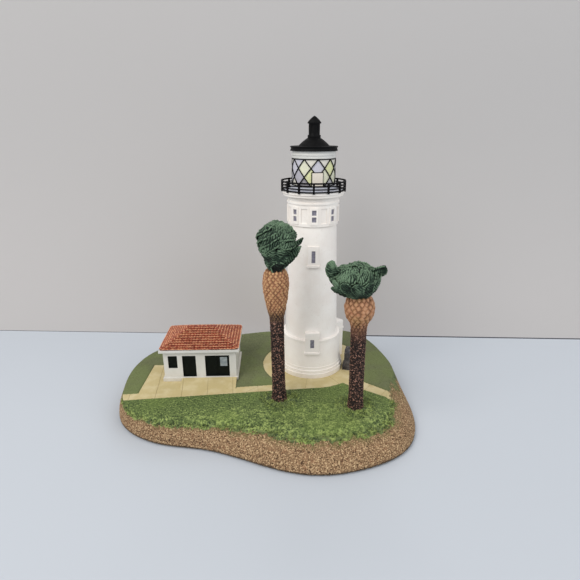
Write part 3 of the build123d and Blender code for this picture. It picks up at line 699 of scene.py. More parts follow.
joints = [(along(PATH_JOINT, PATH_TURN, -i * SLAB_LENGTH), PATH_TURN) for i in range(PATH_JOINTS)]
joints += [((0, 0), math.radians(turn)) for turn in APRON_JOINTS]
joints += [(along(ARM_START, ARM_TURN, reach), ARM_TURN) for reach in ARM_JOINTS]
scribe(joints)
edit(paving, "EDGE")
select_edges(paving, lambda edge: edge.seam and not edge.is_boundary)
bpy.ops.mesh.bevel(offset=JOINT_WIDTH, segments=1, affect="EDGES")
bpy.ops.mesh.select_mode(type="FACE")
mesh = bmesh.from_edit_mesh(paving.data)
for face in mesh.faces:
    face.material_index = int(face.select)
bmesh.update_edit_mesh(paving.data)
bpy.ops.mesh.extrude_region_move(TRANSFORM_OT_translate={"value": (0, 0, -JOINT_DEPTH)})
leave()
close_under(paving, UNDER_PAVING)
clean(paving)


def paving_paint(name, base, worn):
    look = Look(name, base)
    look.over(look.spots(6, 0.4, 0.7, 4), worn)
    look.over(look.spots(0.7, 0.6, 0.72) * 0.3, (170, 146, 98))
    return look.coat(0.7, look.grain(0.5, 3), 0.06)


SLAB = paving_paint("paving_paint", (191, 174, 126), (203, 188, 146))
JOINT = paving_paint("joint_paint", (158, 141, 99), (172, 155, 112))
finish_piece(paving, [SLAB, JOINT], "base_casting", 30)
close_under(path_end, UNDER_PAVING)
finish_piece(path_end, [SLAB], "base_casting", 50)

# %% The slab that joins the right path to the tower's apron
JOIN_SIZE = (3.9 * MM, 8.7 * MM, 1 * MM)
JOIN_MIDDLE = -1.65 * MM
JOIN_DROP = 0.52 * MM


def add(operator, name, **settings):
    """Adds a basic mesh and settles its place, turn and size in its points."""
    bpy.ops.object.select_all(action="DESELECT")
    operator(**settings)
    obj = bpy.context.object
    obj.name = name
    bpy.ops.object.transform_apply(location=True, rotation=True, scale=True)
    return obj


path_join = add(bpy.ops.mesh.primitive_cube_add, "path_join", size=1, scale=JOIN_SIZE)
modify(path_join, "BEVEL", width=0.04 * MM, segments=1)
path_join.data.transform(ARM @ Matrix.Translation((JOIN_MIDDLE, 0, PAVING_Z - JOIN_DROP)))
finish_piece(path_join, [SLAB], "base_casting", 30)

# %% [markdown]
# Loose tufts stand up where the stiff brush dragged the clay: along the front edge and at the palms'
# feet. One curled blade is modelled and copied with a random lean and size.

# %% Grass tufts
TUFTS = 1500
TUFT_LOW, TUFT_FRONT = 8.3 * MM, -33 * MM


def lay(name, stamp, places):
    """One piece made of copies of a stamp, one for each matrix, each with a random tint kept on it."""
    built = bmesh.new()
    tint = built.verts.layers.float.new("tint")
    relief = built.verts.layers.float.new("relief")
    heights = [0.0] * len(stamp.data.vertices)
    if "relief" in stamp.data.attributes:
        stamp.data.attributes["relief"].data.foreach_get("value", heights)
    for place in places:
        start = len(built.verts)
        copied = stamp.data.copy()
        copied.transform(place)
        built.from_mesh(copied)
        bpy.data.meshes.remove(copied)
        built.verts.ensure_lookup_table()
        shade = random.random()
        for vertex, height in zip(built.verts[start:], heights):
            vertex[tint] = shade
            vertex[relief] = height
    mesh = bpy.data.meshes.new(name)
    built.to_mesh(mesh)
    built.free()
    bpy.data.objects.remove(stamp)
    return link(name, mesh)


def standing(at, up, turn, size):
    """A matrix that stands a stamp on a point along a direction."""
    return Matrix.Translation(at) @ up.to_track_quat("Z", "Y").to_matrix().to_4x4() @ (
        Matrix.Rotation(turn, 4, "Z") @ Matrix.Scale(size, 4))


def grass_blade():
    obj = add(bpy.ops.mesh.primitive_cone_add, "blade", vertices=4, radius1=0.2 * MM, radius2=0.04 * MM,
              depth=1.2 * MM, location=(0, 0, 0.5 * MM))
    edit_all(obj, "VERT")
    bpy.ops.mesh.subdivide(number_cuts=1)
    leave()
    for vertex in obj.data.vertices:
        share = vertex.co.z / (1.1 * MM)
        vertex.co.x += 0.55 * MM * share * share
        vertex.co.y *= 0.7
    return obj


candidates = []
for vertex in front_lawn.data.vertices:
    rough = hang(vertex.co) > 0.45 or near_palm(vertex.co) > 0.35
    if rough and vertex.co.z > TUFT_LOW and vertex.co.y < TUFT_FRONT and vertex.normal.z > 0:
        candidates.append((vertex.co.copy(), vertex.normal.copy()))
tuft_places = []
for at, normal in random.sample(candidates, min(TUFTS, len(candidates))):
    lean = Vector((random.uniform(-0.9, 0.9), random.uniform(-1.2, 0.3), random.uniform(-0.2, 0.7)))
    tuft_places.append(standing(at - normal * 0.2 * MM, normal + lean, random.uniform(0, math.tau),
                                random.uniform(0.7, 1.6)))
tufts = lay("grass_tufts", grass_blade(), tuft_places)


def tuft_paint():
    look = Look("tuft_paint", (66, 82, 40))
    look.over(look.kept("tint"), (168, 182, 100))
    look.over(look.grain(1) * 0.4, (54, 70, 40))
    return look.coat(0.75, look.grain(0.3), 0.03)


finish_piece(tufts, [tuft_paint()], "base_casting", 60)

# %% [markdown]
# ## The white castings
# Tower, gallery, cornice, porch and house are crisp on the master, but every edge of a painted casting
# is a little round. A copy of each CAD mesh gets a fine bevel on its sharp edges, and the sunk panes and
# doors are painted by where their faces lie.

# %% Softened castings
TOWER_SIDES = 8
BAND_FOOT = 81
BAND_PANES = (85.55, 88.9)
BAND_PANE_HALF = (1.2, 1.4)
BAND_PANE_RADIUS = 12.8
SHAFT_PANE_RADII = (12.82, 15.79)
SHAFT_PANE_HALF = 1.1 * MM
PANE_LIMIT = 0.06
PORCH_OUT = Vector((math.sqrt(0.5), math.sqrt(0.5), 0))
PORCH_DOOR_TOP, PORCH_DOOR_OUT = PAVING_Z + 11.4 * MM, (20.2 * MM, 20.9 * MM)
CURB_HEIGHT = 2.5 * MM
DECK_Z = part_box("gallery_casting")[1].z - CURB_HEIGHT
DECK_RADIUS = 15.6 * MM
EDGE, FINE_EDGE = 0.12 * MM, 0.1 * MM


def cast(node, name, width, slot, looks, *tests):
    """A copy of a casting, softened and painted; each test picks the faces of one more paint."""
    obj = copy_node(node, name)
    edit_all(obj)
    bpy.ops.mesh.dissolve_limited(angle_limit=math.radians(0.3))
    leave()
    modify(obj, "BEVEL", width=width, segments=2, limit_method="ANGLE", angle_limit=math.radians(32))
    clean(obj)
    for index, test in enumerate(tests, 1):
        for face in obj.data.polygons:
            if test(face.center, face.normal):
                face.material_index = index
    finish_piece(obj, looks, node, 35)
    modify(obj, "WEIGHTED_NORMAL", keep_sharp=True)


def band_pane(at, normal):
    """The floors of the two sunk panes in each window of the band."""
    turn = round(math.atan2(at.x, -at.y) / (math.tau / TOWER_SIDES)) * math.tau / TOWER_SIDES
    out = Vector((math.sin(turn), -math.cos(turn), 0))
    side = Vector((math.cos(turn), math.sin(turn), 0))
    above = (at.z - PAVING_Z) / MM
    return (normal.dot(out) > 0.95 and abs(at.dot(out) / MM - BAND_PANE_RADIUS) < PANE_LIMIT
            and abs(at.dot(side)) < BAND_PANE_HALF[0] * MM
            and min(abs(above - z) for z in BAND_PANES) < BAND_PANE_HALF[1])


def tower_pane(at, normal):
    """The floors of all the tower's panes: those of the band and one in each window down the front."""
    if (at.z - PAVING_Z) / MM > BAND_FOOT:
        return band_pane(at, normal)
    front = min(abs(at.y / MM + radius) for radius in SHAFT_PANE_RADII) < PANE_LIMIT
    return normal.y < -0.95 and abs(at.x) < SHAFT_PANE_HALF and front


def porch_door(at, normal):
    low, high = PORCH_DOOR_OUT
    return normal.dot(PORCH_OUT) > 0.95 and at.z < PORCH_DOOR_TOP and low < at.dot(PORCH_OUT) < high


def deck_floor(at, normal):
    """The gallery's walkway and the curb round the lantern's foot."""
    return at.z > DECK_Z - 0.05 * MM and at.xy.length < DECK_RADIUS


cast("tower_casting", "tower", FINE_EDGE, "white_paint", [WHITE, PANE], tower_pane)
cast("gallery_casting", "gallery", EDGE, "white_paint", [WHITE, SHADED_DECK], deck_floor)
cast("lantern_cornice", "cornice", EDGE, "white_paint", [DARKER_WHITE])
cast("entrance_porch", "porch", EDGE, "white_paint", [WHITE, DOOR], porch_door)

# %% [markdown]
# The lantern's roof and its ventilator are turned shapes in black; the railing and the lattice are
# etched strips painted black. The strips keep their CAD form.

# %% Black pieces
for node, name in (("lantern_roof", "roof_cone"), ("roof_vent", "ventilator")):
    cast(node, name, FINE_EDGE, "black_paint", [BLACK])
for node in ("gallery_railing", "lantern_lattice"):
    dress_node(node, BLACK)

# %% [markdown]
# The lantern's panes are painted one by one. The lattice's lines run at equal steps of turn and height,
# so a pane's middle, in half spacings round and rows down, comes from the turn plus and minus the
# height. The panes at the front have chosen colours: a sunny yellow-green, lavender and grey. For the
# others a random number picks off-white or grey. The hatch is a cream dab.

# %% Lantern panes
LATTICE_PHASE = -81.6
LATTICE_EDGE = 0.2 * MM
HALF_PANE = 18.0
PANE_ROW = 4.1667 * MM
HATCH_TURN = math.radians(-82.6)
HATCH_OUT = 10.65 * MM
FRONT_PANES = [
    ((222, 224, 168), [(0, 2), (3, 1)]),
    ((224, 224, 196), [(-1, 1), (4, 2), (2, 2)]),
    ((196, 195, 205), [(1, 1), (-3, 1), (-2, 0)]),
    ((180, 178, 188), [(-2, 2), (-4, 2)]),
    ((134, 131, 140), [(-1, 3)]),
]


def lantern_paint():
    look = Look("lantern_paint", (218, 214, 202))
    x, y, z = look.axes()
    turn = look.math("ARCTAN2", y, x) * (180 / math.pi)
    round_it = (turn - LATTICE_PHASE) / HALF_PANE + 1
    down = (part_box("lantern_lattice")[1].z - LATTICE_EDGE - z) / PANE_ROW
    first = look.math("FLOOR", (round_it + down + 1) / 2)
    second = look.math("FLOOR", (round_it - down + 1) / 2)
    column, row = first + second, first - second
    cell = look.node("ShaderNodeCombineXYZ", None, {0: column, 1: row, 2: 3.0})
    chance = look.node("ShaderNodeTexWhiteNoise", {"noise_dimensions": "3D"}, {"Vector": cell})
    look.over(chance > 0.6, (192, 191, 196))
    for shade, panes in FRONT_PANES:
        for pane in panes:
            here = look.math("COMPARE", column, pane[0]) * look.math("COMPARE", row, pane[1])
            look.over(here, shade)
    look.over(look.spots(1.5, 0.4, 0.75, 3) * 0.4, (196, 193, 190))
    out = x * math.cos(HATCH_TURN) + y * math.sin(HATCH_TURN)
    look.over(out > HATCH_OUT, (226, 217, 203))
    return look.coat(0.28 + 0.2 * look.grain(1), look.grain(0.8), 0.03)


dress_node("lantern_glazing", lantern_paint())
print("chosen panes", sum(len(panes) for shade, panes in FRONT_PANES))

# %% [markdown]
# ## The keeper's house
# White walls with a low plinth and a fascia, a window and two doors painted almost black, and a grey
# pane in the store's right leaf. The roof is a hip of barrel tiles. A bed carries them; one tile is bent
# from a tube, halved and thickened, and copied course by course up each slope, then along hips and ridge.

# %% House walls
HOUSE_LONG, HOUSE_DEEP, HOUSE_TALL = 38.3 * MM, 28 * MM, 17.2 * MM
FRONT_WALL = -HOUSE_DEEP / 2
RECESS, RECESS_HALF, RECESS_Z = (0.12 * MM, 1.4 * MM), 17.6 * MM, (2.1 * MM, 14.9 * MM)
LEAF_PANE, LEAF_PANE_X = 1.1 * MM, (10.5 * MM, 14.3 * MM)


def opening(at, normal):
    """A face inside one of the front wall's recesses."""
    p = HOUSE_BACK @ at
    sunk = RECESS[0] < p.y - FRONT_WALL < RECESS[1]
    return sunk and abs(p.x) < RECESS_HALF and RECESS_Z[0] < p.z < RECESS_Z[1]


def leaf_pane(at, normal):
    """The floor of the pane in the store's right leaf."""
    p = HOUSE_BACK @ at
    deep = p.y - FRONT_WALL > LEAF_PANE
    return opening(at, normal) and deep and normal.y < -0.9 and LEAF_PANE_X[0] < p.x < LEAF_PANE_X[1]


cast("house_walls", "house", FINE_EDGE, "white_paint", [DARKER_WHITE, DOOR, DOOR_PANE], opening, leaf_pane)

# %% One barrel tile
TILE_EDGE = 1.1 * MM
FASCIA = 1.4 * MM
ROOF_LONG, ROOF_DEEP = HOUSE_LONG + 2 * TILE_EDGE, HOUSE_DEEP + 2 * TILE_EDGE
RIDGE_LENGTH = 13.2 * MM
RUN = ROOF_DEEP / 2
END_RUN = (ROOF_LONG - RIDGE_LENGTH) / 2
ROOF_SLOPE = math.radians(25)
RISE = RUN * math.tan(ROOF_SLOPE)
ROOF_Z = HOUSE_TALL + FASCIA
TILE_PITCH = 1.515 * MM
TILE_RADIUS = 0.8 * MM
TILE_LIFT = 0.55 * MM
TILE_THICK = 0.2 * MM
TILE_LAP = 1.2
COURSES = 10


def barrel_tile(radius, length):
    """Half a tube lying along Y, tilted up at its lower end, with real thickness."""
    obj = add(bpy.ops.mesh.primitive_cylinder_add, "tile", vertices=14, radius=radius, depth=length,
              end_fill_type="NOTHING", rotation=(math.pi / 2, 0, 0))
    edit_all(obj)
    bpy.ops.mesh.bisect(plane_co=(0, 0, 0), plane_no=(0, 0, 1), clear_inner=True)
    bpy.ops.mesh.select_all(action="SELECT")
    bpy.ops.mesh.bisect(plane_co=(0, -0.22 * length, 0), plane_no=(0, 1, 0))
    leave()
    for vertex in obj.data.vertices:
        share = vertex.co.y / length + 0.5
        vertex.co.x *= 1 - 0.14 * share
        vertex.co.z *= 0.56 - 0.1 * share
        vertex.co.z += TILE_LIFT * (0.5 - share)
    modify(obj, "SOLIDIFY", thickness=TILE_THICK, offset=-1)
    keep(obj, "relief", [1 - ramp01(vertex.co.y / length, -0.5, -0.2) for vertex in obj.data.vertices])
    return obj


def slope_places(width, flat, run):
    """Places for the tiles of one slope, in a frame with its eave along X and its rise to +Y."""
    pitch = math.atan2(RISE, run)
    course = math.hypot(RISE, run) / COURSES
    places = []
    for number in range(COURSES):
        reach = (width + (flat - width) * (number + 0.5) / COURSES) / 2
        columns = int(reach / TILE_PITCH + 0.35)
        for column in range(-columns, columns + 1):
            if abs(column * TILE_PITCH) > reach - 0.2 * MM:
                continue
            shift = Vector((column * TILE_PITCH + random.gauss(0, 0.03) * MM,
                            (number + 0.5) * course + random.gauss(0, 0.04) * MM, 0.2 * MM))
            turn = Matrix.Rotation(random.gauss(0, 0.025), 4, "Z")
            places.append(Matrix.Rotation(pitch, 4, "X") @ Matrix.Translation(shift) @ turn)
    return places


def cap_places(start, end, step):
    """Places for cap tiles along a hip or the ridge, each lapping the one below it."""
    way = end - start
    count = max(1, round(way.length / step))
    turn = way.to_track_quat("Y", "Z").to_matrix().to_4x4()
    return [Matrix.Translation(start + way * ((i + 0.5) / count)) @ turn for i in range(count)]


print("the roof rises", round(RISE / MM, 2), "mm in", COURSES, "courses")

# %% Tiles, course by course
CAP_RADIUS, CAP_LENGTH, CAP_STEP = 0.72 * MM, 2.5 * MM, 2.2 * MM
CAP_LIFT, HIP_INSET, HIP_LIFT = 0.1 * MM, 0.5 * MM, 0.25 * MM
on_roof = HOUSE @ Matrix.Translation((0, 0, ROOF_Z))
tile_places = []
for half_turn in (0, math.pi):
    spin = on_roof @ Matrix.Rotation(half_turn, 4, "Z")
    front = spin @ Matrix.Translation((0, -RUN, 0))
    end = spin @ Matrix.Translation((-ROOF_LONG / 2, 0, 0)) @ Matrix.Rotation(-math.pi / 2, 4, "Z")
    tile_places += [front @ place for place in slope_places(ROOF_LONG, RIDGE_LENGTH, RUN)]
    tile_places += [end @ place for place in slope_places(ROOF_DEEP, 0, END_RUN)]
tile_length = math.hypot(RISE, RUN) / COURSES * TILE_LAP
tiles = lay("roof_tiles", barrel_tile(TILE_RADIUS, tile_length), tile_places)
ridge_end = RIDGE_LENGTH / 2
caps = cap_places(Vector((-ridge_end, 0, RISE)), Vector((ridge_end, 0, RISE)), CAP_STEP)
for x in (-1, 1):
    for y in (-1, 1):
        foot = Vector((x * (ROOF_LONG / 2 - HIP_INSET), y * (RUN - HIP_INSET), HIP_LIFT))
        caps += cap_places(foot, Vector((x * ridge_end, 0, RISE)), CAP_STEP)
lift = Matrix.Translation((0, 0, CAP_LIFT))
caps = [on_roof @ lift @ place for place in caps]
cap_tiles = lay("roof_caps", barrel_tile(CAP_RADIUS, CAP_LENGTH), caps)
print(len(tile_places), "tiles and", len(caps), "caps")

# %% The bed under the tiles
bed = add(bpy.ops.mesh.primitive_cube_add, "roof_bed", size=1, scale=(ROOF_LONG, ROOF_DEEP, RISE),
          location=(0, 0, RISE / 2))
for vertex in bed.data.vertices:
    if vertex.co.z > RISE / 2:
        vertex.co = (math.copysign(ridge_end, vertex.co.x), 0, RISE)
edit_all(bed)
bpy.ops.mesh.remove_doubles(threshold=0.01 * MM)
bpy.ops.mesh.subdivide(number_cuts=6)
leave(outward=True)
bed.data.transform(on_roof)


def tile_paint():
    look = Look("tile_paint", (126, 54, 36))
    tint = look.kept("tint")
    look.over(look.span(tint, 0.1, 0.6), (152, 73, 47))
    look.over(look.span(tint, 0.6, 1.0), (160, 93, 61))
    look.over(look.spots(3, 0.55, 0.8) * 0.4, (96, 48, 36))
    dab = look.span(look.kept("relief"), 0.1, 0.6) * look.spots(1.2, 0.33, 0.56)
    look.over(dab * 0.75, (236, 176, 132))
    return look.coat(0.65, look.grain(0.4), 0.05)


TILE = tile_paint()
BED = plain_paint("roof_bed_paint", (110, 50, 37), (126, 60, 44), 0.7)
for piece, look, smooth in ((bed, BED, 20), (tiles, TILE, 40), (cap_tiles, TILE, 40)):
    finish_piece(piece, [look], "house_roof", smooth)

# %% [markdown]
# ## The palms
# Each palm is a dark trunk with short knobs of bark, a boot of cut leaf bases in a net of diamonds, and
# a crumpled head of pleated fronds. Trunk and boot are one rolled sheet; the boot then carries copies of
# one leaf base, a low diamond cushion.

# %% Sheets shaped by a rule


def through(points, share):
    """A smooth curve through points, at a share of its length from 0 to 1."""
    last = len(points) - 1
    i = min(int(share * last), last - 1)
    f = share * last - i
    near = [points[max(0, min(last, i + k))] for k in (-1, 0, 1, 2)]
    return [0.5 * (2 * b + (c - a) * f + (2 * a - 5 * b + 4 * c - d) * f * f
                   + (3 * b - a - 3 * c + d) * f ** 3) for a, b, c, d in zip(*near)]


def shaped_sheet(name, across, up, shape):
    """A grid whose points go to shape(u, v); the number that the shape gives with each point is kept for
    the
    paint: on the bark a height, on the fronds a paint level that holds painted light and shade.
    """
    obj = add(bpy.ops.mesh.primitive_grid_add, name, x_subdivisions=across, y_subdivisions=up, size=1)
    heights = []
    for vertex in obj.data.vertices:
        at, relief = shape(vertex.co.x + 0.5, vertex.co.y + 0.5)
        vertex.co = Vector(at) * MM
        heights.append(relief)
    keep(obj, "relief", heights)
    return obj


def weld(obj):
    """Joins points that meet and closes what is left open at the ends."""
    edit_all(obj, "EDGE")
    bpy.ops.mesh.remove_doubles(threshold=0.02 * MM)
    bpy.ops.mesh.select_all(action="SELECT")
    bpy.ops.mesh.fill_holes(sides=0)
    leave(outward=True)


# %% Trunks and boots
TRUNKS = {
    "left": [(-1, 3.9), (0, 3.75), (6, 3.2), (24, 3.1), (44, 3.3), (48, 4.0), (54, 5.1), (60.5, 5.7),
             (65, 5.2), (67.3, 4.0)],
    "right": [(-1, 4.05), (0, 3.9), (6, 3.45), (22, 3.4), (41, 3.55), (44, 3.9), (47, 5.6), (51, 6.5),
              (55, 5.8), (57.2, 4.2)],
}
BOOT_FOOT = {"left": 45.5, "right": 42.5}
LEAN = {"left": -1.2, "right": -0.6}


def palm_frame(side):
    """The frame that stands at a palm's foot and leans with it."""
    lean = math.atan2(LEAN[side], TRUNKS[side][-1][0])
    return Matrix.Translation((*PALMS[side], LAWN_Z)) @ Matrix.Rotation(lean, 4, "Y")


def radius_at(side, height):
    """Radius of trunk or boot at a height, on a smooth curve through the given points."""
    points = TRUNKS[side]
    last = len(points) - 1

    def slope(i):
        (z0, r0), (z1, r1) = points[max(0, i - 1)], points[min(last, i + 1)]
        return (r1 - r0) / (z1 - z0)

    i = max(k for k in range(last) if points[k][0] <= height or k == 0)
    (z0, r0), (z1, r1) = points[i], points[i + 1]
    run = z1 - z0
    f = min(1, max(0, (height - z0) / run))
    return ((2 * f ** 3 - 3 * f ** 2 + 1) * r0 + (f ** 3 - 2 * f ** 2 + f) * run * slope(i)
            + (3 * f ** 2 - 2 * f ** 3) * r1 + (f ** 3 - f ** 2) * run * slope(i + 1))


def bark(side, u, v):
    """A point on the trunk: short knobs in rows across it, rougher towards the foot."""
    low, top = TRUNKS[side][0][0], TRUNKS[side][-1][0]
    height = low + v * (top - low)
    turn = u * math.tau
    around = Vector((math.cos(turn) * 3.3, math.sin(turn) * 3.3, height * 1.7))
    knob = 1 - 2 * abs(noise.noise(around * 1.2)) + 0.6 * noise.noise(around * 2.6)
    rough = 0.42 * (1 - ramp01(height, BOOT_FOOT[side] - 3, BOOT_FOOT[side]))
    relief = rough * (knob - 0.55)
    flare = 0.35 * max(0, 1 - height / 3) * noise.noise(Vector((math.cos(turn), math.sin(turn), 4)) * 2)
    out = radius_at(side, height) + relief + flare
    return (out * math.cos(turn), out * math.sin(turn), height), relief


def boot_scale():
    """One cut leaf base: a low diamond cushion, a little higher at its upper end."""
    obj = add(bpy.ops.mesh.primitive_cone_add, "scale", vertices=4, radius1=1.14 * MM, radius2=0.66 * MM,
              depth=0.55 * MM, location=(0, 0, 0.02 * MM))
    edit(obj)
    select_faces(obj, lambda at, normal: normal.z > 0.9)
    bpy.ops.mesh.inset(thickness=0.16 * MM)
    bpy.ops.transform.translate(value=(0, 0, 0.1 * MM))
    leave()
    for vertex in obj.data.vertices:
        vertex.co.z += 0.2 * vertex.co.y
    modify(obj, "BEVEL", width=0.08 * MM, segments=1, limit_method="ANGLE",
           angle_limit=math.radians(30))
    keep(obj, "relief", [1 - ramp01(v.co.xy.length, 0.4 * MM, 0.95 * MM) for v in obj.data.vertices])
    return obj


def scale_places(side, rows, around):
    """Places for the leaf bases: rows up the boot, each turned by half a base from the one below."""
    foot, top = BOOT_FOOT[side] - 2.5, TRUNKS[side][-1][0] - 0.7
    step = (top - foot) / (rows - 1)
    places = []
    for row in range(rows):
        height = foot + row * step
        radius = radius_at(side, height)
        slope = radius_at(side, height + 0.5) - radius_at(side, height - 0.5)
        wide = math.tau * radius / around
        for i in range(around):
            turn = (i + 0.5 * (row % 2)) * math.tau / around + random.gauss(0, 0.045)
            out = Vector((math.cos(turn), math.sin(turn), -slope * 0.8)).normalized()
            right = Vector((-math.sin(turn), math.cos(turn), 0))
            up = out.cross(right)
            rise = random.gauss(-0.02, 0.06) - 0.25 * (1 - ramp01(height, foot, foot + 5))
            at = Vector((radius * math.cos(turn), radius * math.sin(turn), height)) + out * rise
            basis = Matrix((right * wide * 0.5, up * step, out)).transposed().to_4x4()
            twist = Matrix.Rotation(random.gauss(0, 0.12), 4, "Z")
            size = Matrix.Scale(random.uniform(0.88, 1.1), 4)
            places.append(palm_frame(side) @ Matrix.Translation(at * MM) @ basis @ (twist @ size))
    return places


def bark_paint(name, foot, upper):
    look = Look(name, (10, 7, 7))
    fine = look.grain(0.7, 2)
    level = look.kept("relief") + 0.5 * (fine - 0.5)
    look.over(look.span(level, -0.25, 0.02), (35, 23, 19))
    height = look.axes()[2]
    look.over(look.span(height, LAWN_Z + (foot - 9) * MM, LAWN_Z + foot * MM) * 0.7, upper)
    look.over(look.span(height, LAWN_Z + foot * MM, LAWN_Z + (foot + 6) * MM), (124, 86, 60))
    look.over(look.span(level, 0.07, 0.2) * 0.9, (164, 122, 104))
    return look.coat(0.7, fine, 0.1, shine=0.3)


def boot_paint(name, foot, fade, lower, pale):
    """The boot is tan, with dark grooves, and fades into the trunk's own colour over a height."""
    look = Look(name, (112, 74, 50))
    tint = look.kept("tint")
    level = look.kept("relief") + 0.5 * (look.grain(0.9, 2) - 0.5) + 0.25 * (tint - 0.5)
    look.over(look.spots(1.8, 0.42, 0.6), (160, 117, 82))
    look.over(look.span(level, 0.0, 0.4), (162, 116, 82))
    look.over(look.span(level, 0.55, 1.0) * 0.8, pale)
    look.over(look.spots(4, 0.5, 0.7) * 0.4, (154, 100, 74))
    look.over(look.span(look.grain(5, 2, (1, 1.3, 0.8)), 0.52, 0.7) * 0.35, (150, 122, 72))
    height = look.axes()[2] + 2.5 * MM * (look.grain(1.6, 2) - 0.5)
    sunk = 1 - look.span(height, LAWN_Z + foot * MM, LAWN_Z + (foot + fade) * MM)
    look.over(sunk * 0.85, lower)
    return look.coat(0.65, look.grain(0.4), 0.06, shine=0.35)


PALM_PAINTS = {
    "left": ((60, 42, 36), (58, 44, 30), (202, 160, 114), 8),
    "right": ((96, 62, 47), (80, 52, 39), (194, 146, 112), 5),
}
for side, rows, around in (("left", 20, 16), ("right", 11, 14)):
    upper, lower, pale, fade = PALM_PAINTS[side]
    foot = BOOT_FOOT[side]
    trunk = shaped_sheet(f"palm_{side}_bark", 90, 220, lambda u, v: bark(side, u, v))
    weld(trunk)
    trunk.data.transform(palm_frame(side))
    dark = bark_paint(f"bark_{side}", foot, upper)
    finish_piece(trunk, [dark], f"palm_{side}_trunk", 70)
    scales = lay(f"palm_{side}_boot", boot_scale(), scale_places(side, rows, around))
    tan = boot_paint(f"boot_{side}", foot - 2, fade, lower, pale)
    finish_piece(scales, [tan], f"palm_{side}_trunk", 30)

# %% [markdown]
# A head is built like a cabbage. Ribs rise from the neck all round a dark core, and broader leaves wind
# over them and fold across the top; a few stand out like ears and spikes. A frond is a strip along its
# spine. The spine is given by points on the core: turn, height, distance off the core and half width.
# Leaflets run slantwise across the strip. Its edges turn up to a rim, and one field of noise crumples all
# the layers together. The paint holds painted light and shade: a painted highlight on each rim (a dark
# rim on the ribs), painted shadow in a sunk groove inside it and in the crumple's dents, lighter on its
# lumps, and darker low on the head and lighter high up. Each kind of frond has a belly, a roll in
# degrees, a rim, a slant of its leaflets and a tone.

# %% Fronds
LEAFLET = 1.2
HEAD_SHIFT = {"left": 0.8, "right": -2.5}
SHIFT_RISE = 6.0
HEAD_MIDDLE = {"left": 12.0, "right": 8.0}
CORES = {
    "left": [(2.4, 0), (3.8, 4), (5.4, 8), (6.5, 12), (6.6, 14.5), (5.9, 17.2), (4.3, 19.3), (2.2, 20.8),
             (0.02, 21.2)],
    "right": [(2.8, 0), (6.0, 2.2), (8.4, 5.4), (9.0, 8), (8.2, 10.6), (5.6, 12.8), (2.8, 13.9),
              (0.02, 14.1)],
}
LEFT_RIB = [(0, 0.2, 0.2, 0.9), (0, 2.6, 0.4, 1.4), (0, 5.2, 0.7, 1.9), (0, 7.8, 1.0, 2.1),
            (0, 10.4, 1.2, 2.0), (0, 13.0, 1.0, 1.2)]
LEFT_LEAVES = [
    [(-134, 8.6, 0.9, 0.8), (-118, 11.4, 1.2, 1.7), (-95, 13.6, 1.3, 1.9), (-74, 15.4, 1.2, 1.6),
     (-56, 16.4, 0.8, 0.6)],
    [(-154, 9.8, 1.0, 1.0), (-140, 12.8, 1.3, 1.9), (-110, 15.8, 1.4, 2.2), (-80, 18.0, 1.3, 1.9),
     (-58, 19.4, 0.8, 0.7)],
    [(-174, 12.0, 1.2, 1.1), (-150, 15.4, 1.6, 2.1), (-116, 18.0, 1.5, 2.3), (-76, 19.8, 1.2, 2.0),
     (-40, 20.8, 0.8, 0.8)],
    [(172, 14.0, 1.3, 1.3), (-172, 17.2, 1.7, 2.2), (-140, 19.8, 1.5, 2.4), (-70, 21.3, 1.0, 2.0),
     (-24, 21.0, 0.6, 0.9)],
    [(-92, 15.4, 0.8, 1.0), (-66, 16.6, 1.3, 2.0), (-42, 16.4, 1.5, 2.1), (-18, 15.2, 1.3, 1.2)],
    [(-76, 11.6, 1.0, 0.9), (-56, 12.8, 1.4, 1.8), (-32, 13.0, 1.6, 1.9), (-8, 12.8, 1.4, 0.9)],
    [(-64, 19.4, 0.6, 1.2), (-30, 20.4, 0.8, 2.1), (50, 20.8, 0.8, 2.2), (110, 19.8, 0.5, 1.0)],
    [(-66, 17.2, 0.9, 1.2), (-42, 18.4, 1.1, 2.2), (-12, 18.7, 1.1, 2.3), (20, 18.0, 1.0, 1.4)],
]
RIGHT_RIB = [(0, 0.2, 0.2, 1.0), (0, 1.8, 0.5, 1.9), (0, 4.0, 0.9, 2.5), (0, 6.4, 1.3, 2.6),
             (0, 8.4, 1.9, 2.2), (0, 9.6, 2.4, 0.9)]
RIGHT_LEAVES = [
    [(-122, 11.4, 0.4, 1.2), (-98, 13.2, 1.0, 2.5), (-70, 14.2, 1.1, 2.4), (-30, 14.4, 0.6, 1.0)],
    [(-156, 9.2, 0.4, 1.2), (-138, 11.2, 0.8, 2.3), (-120, 12.8, 0.8, 1.9), (-98, 13.8, 0.5, 0.7)],
    [(-88, 8.8, 0.5, 1.2), (-78, 10.6, 0.8, 2.2), (-64, 12.2, 0.8, 1.9), (-44, 13.6, 0.4, 0.8)],
    [(-60, 8.8, 0.5, 1.2), (-50, 10.4, 0.8, 2.1), (-38, 12.0, 0.7, 1.7), (-22, 13.2, 0.4, 0.7)],
    [(-118, 8.8, 0.5, 1.3), (-109, 10.4, 0.8, 2.2), (-100, 12.0, 0.7, 1.6), (-92, 13.0, 0.4, 0.6)],
    [(-144, 8.2, 0.4, 1.2), (-132, 9.6, 0.6, 1.9), (-122, 11.0, 0.6, 1.5), (-114, 12.0, 0.4, 0.6)],
    [(160, 13.2, 0.4, 1.2), (-178, 14.0, 0.8, 2.2), (-100, 14.5, 0.8, 2.2), (-40, 13.8, 0.5, 1.0)],
]


def core_radius(side, up):
    """Radius of a head's core at a height."""
    for (low_radius, low), (high_radius, high) in zip(CORES[side], CORES[side][1:]):
        if up <= high:
            return low_radius + (high_radius - low_radius) * ramp01(up, low, high)
    return 0.0


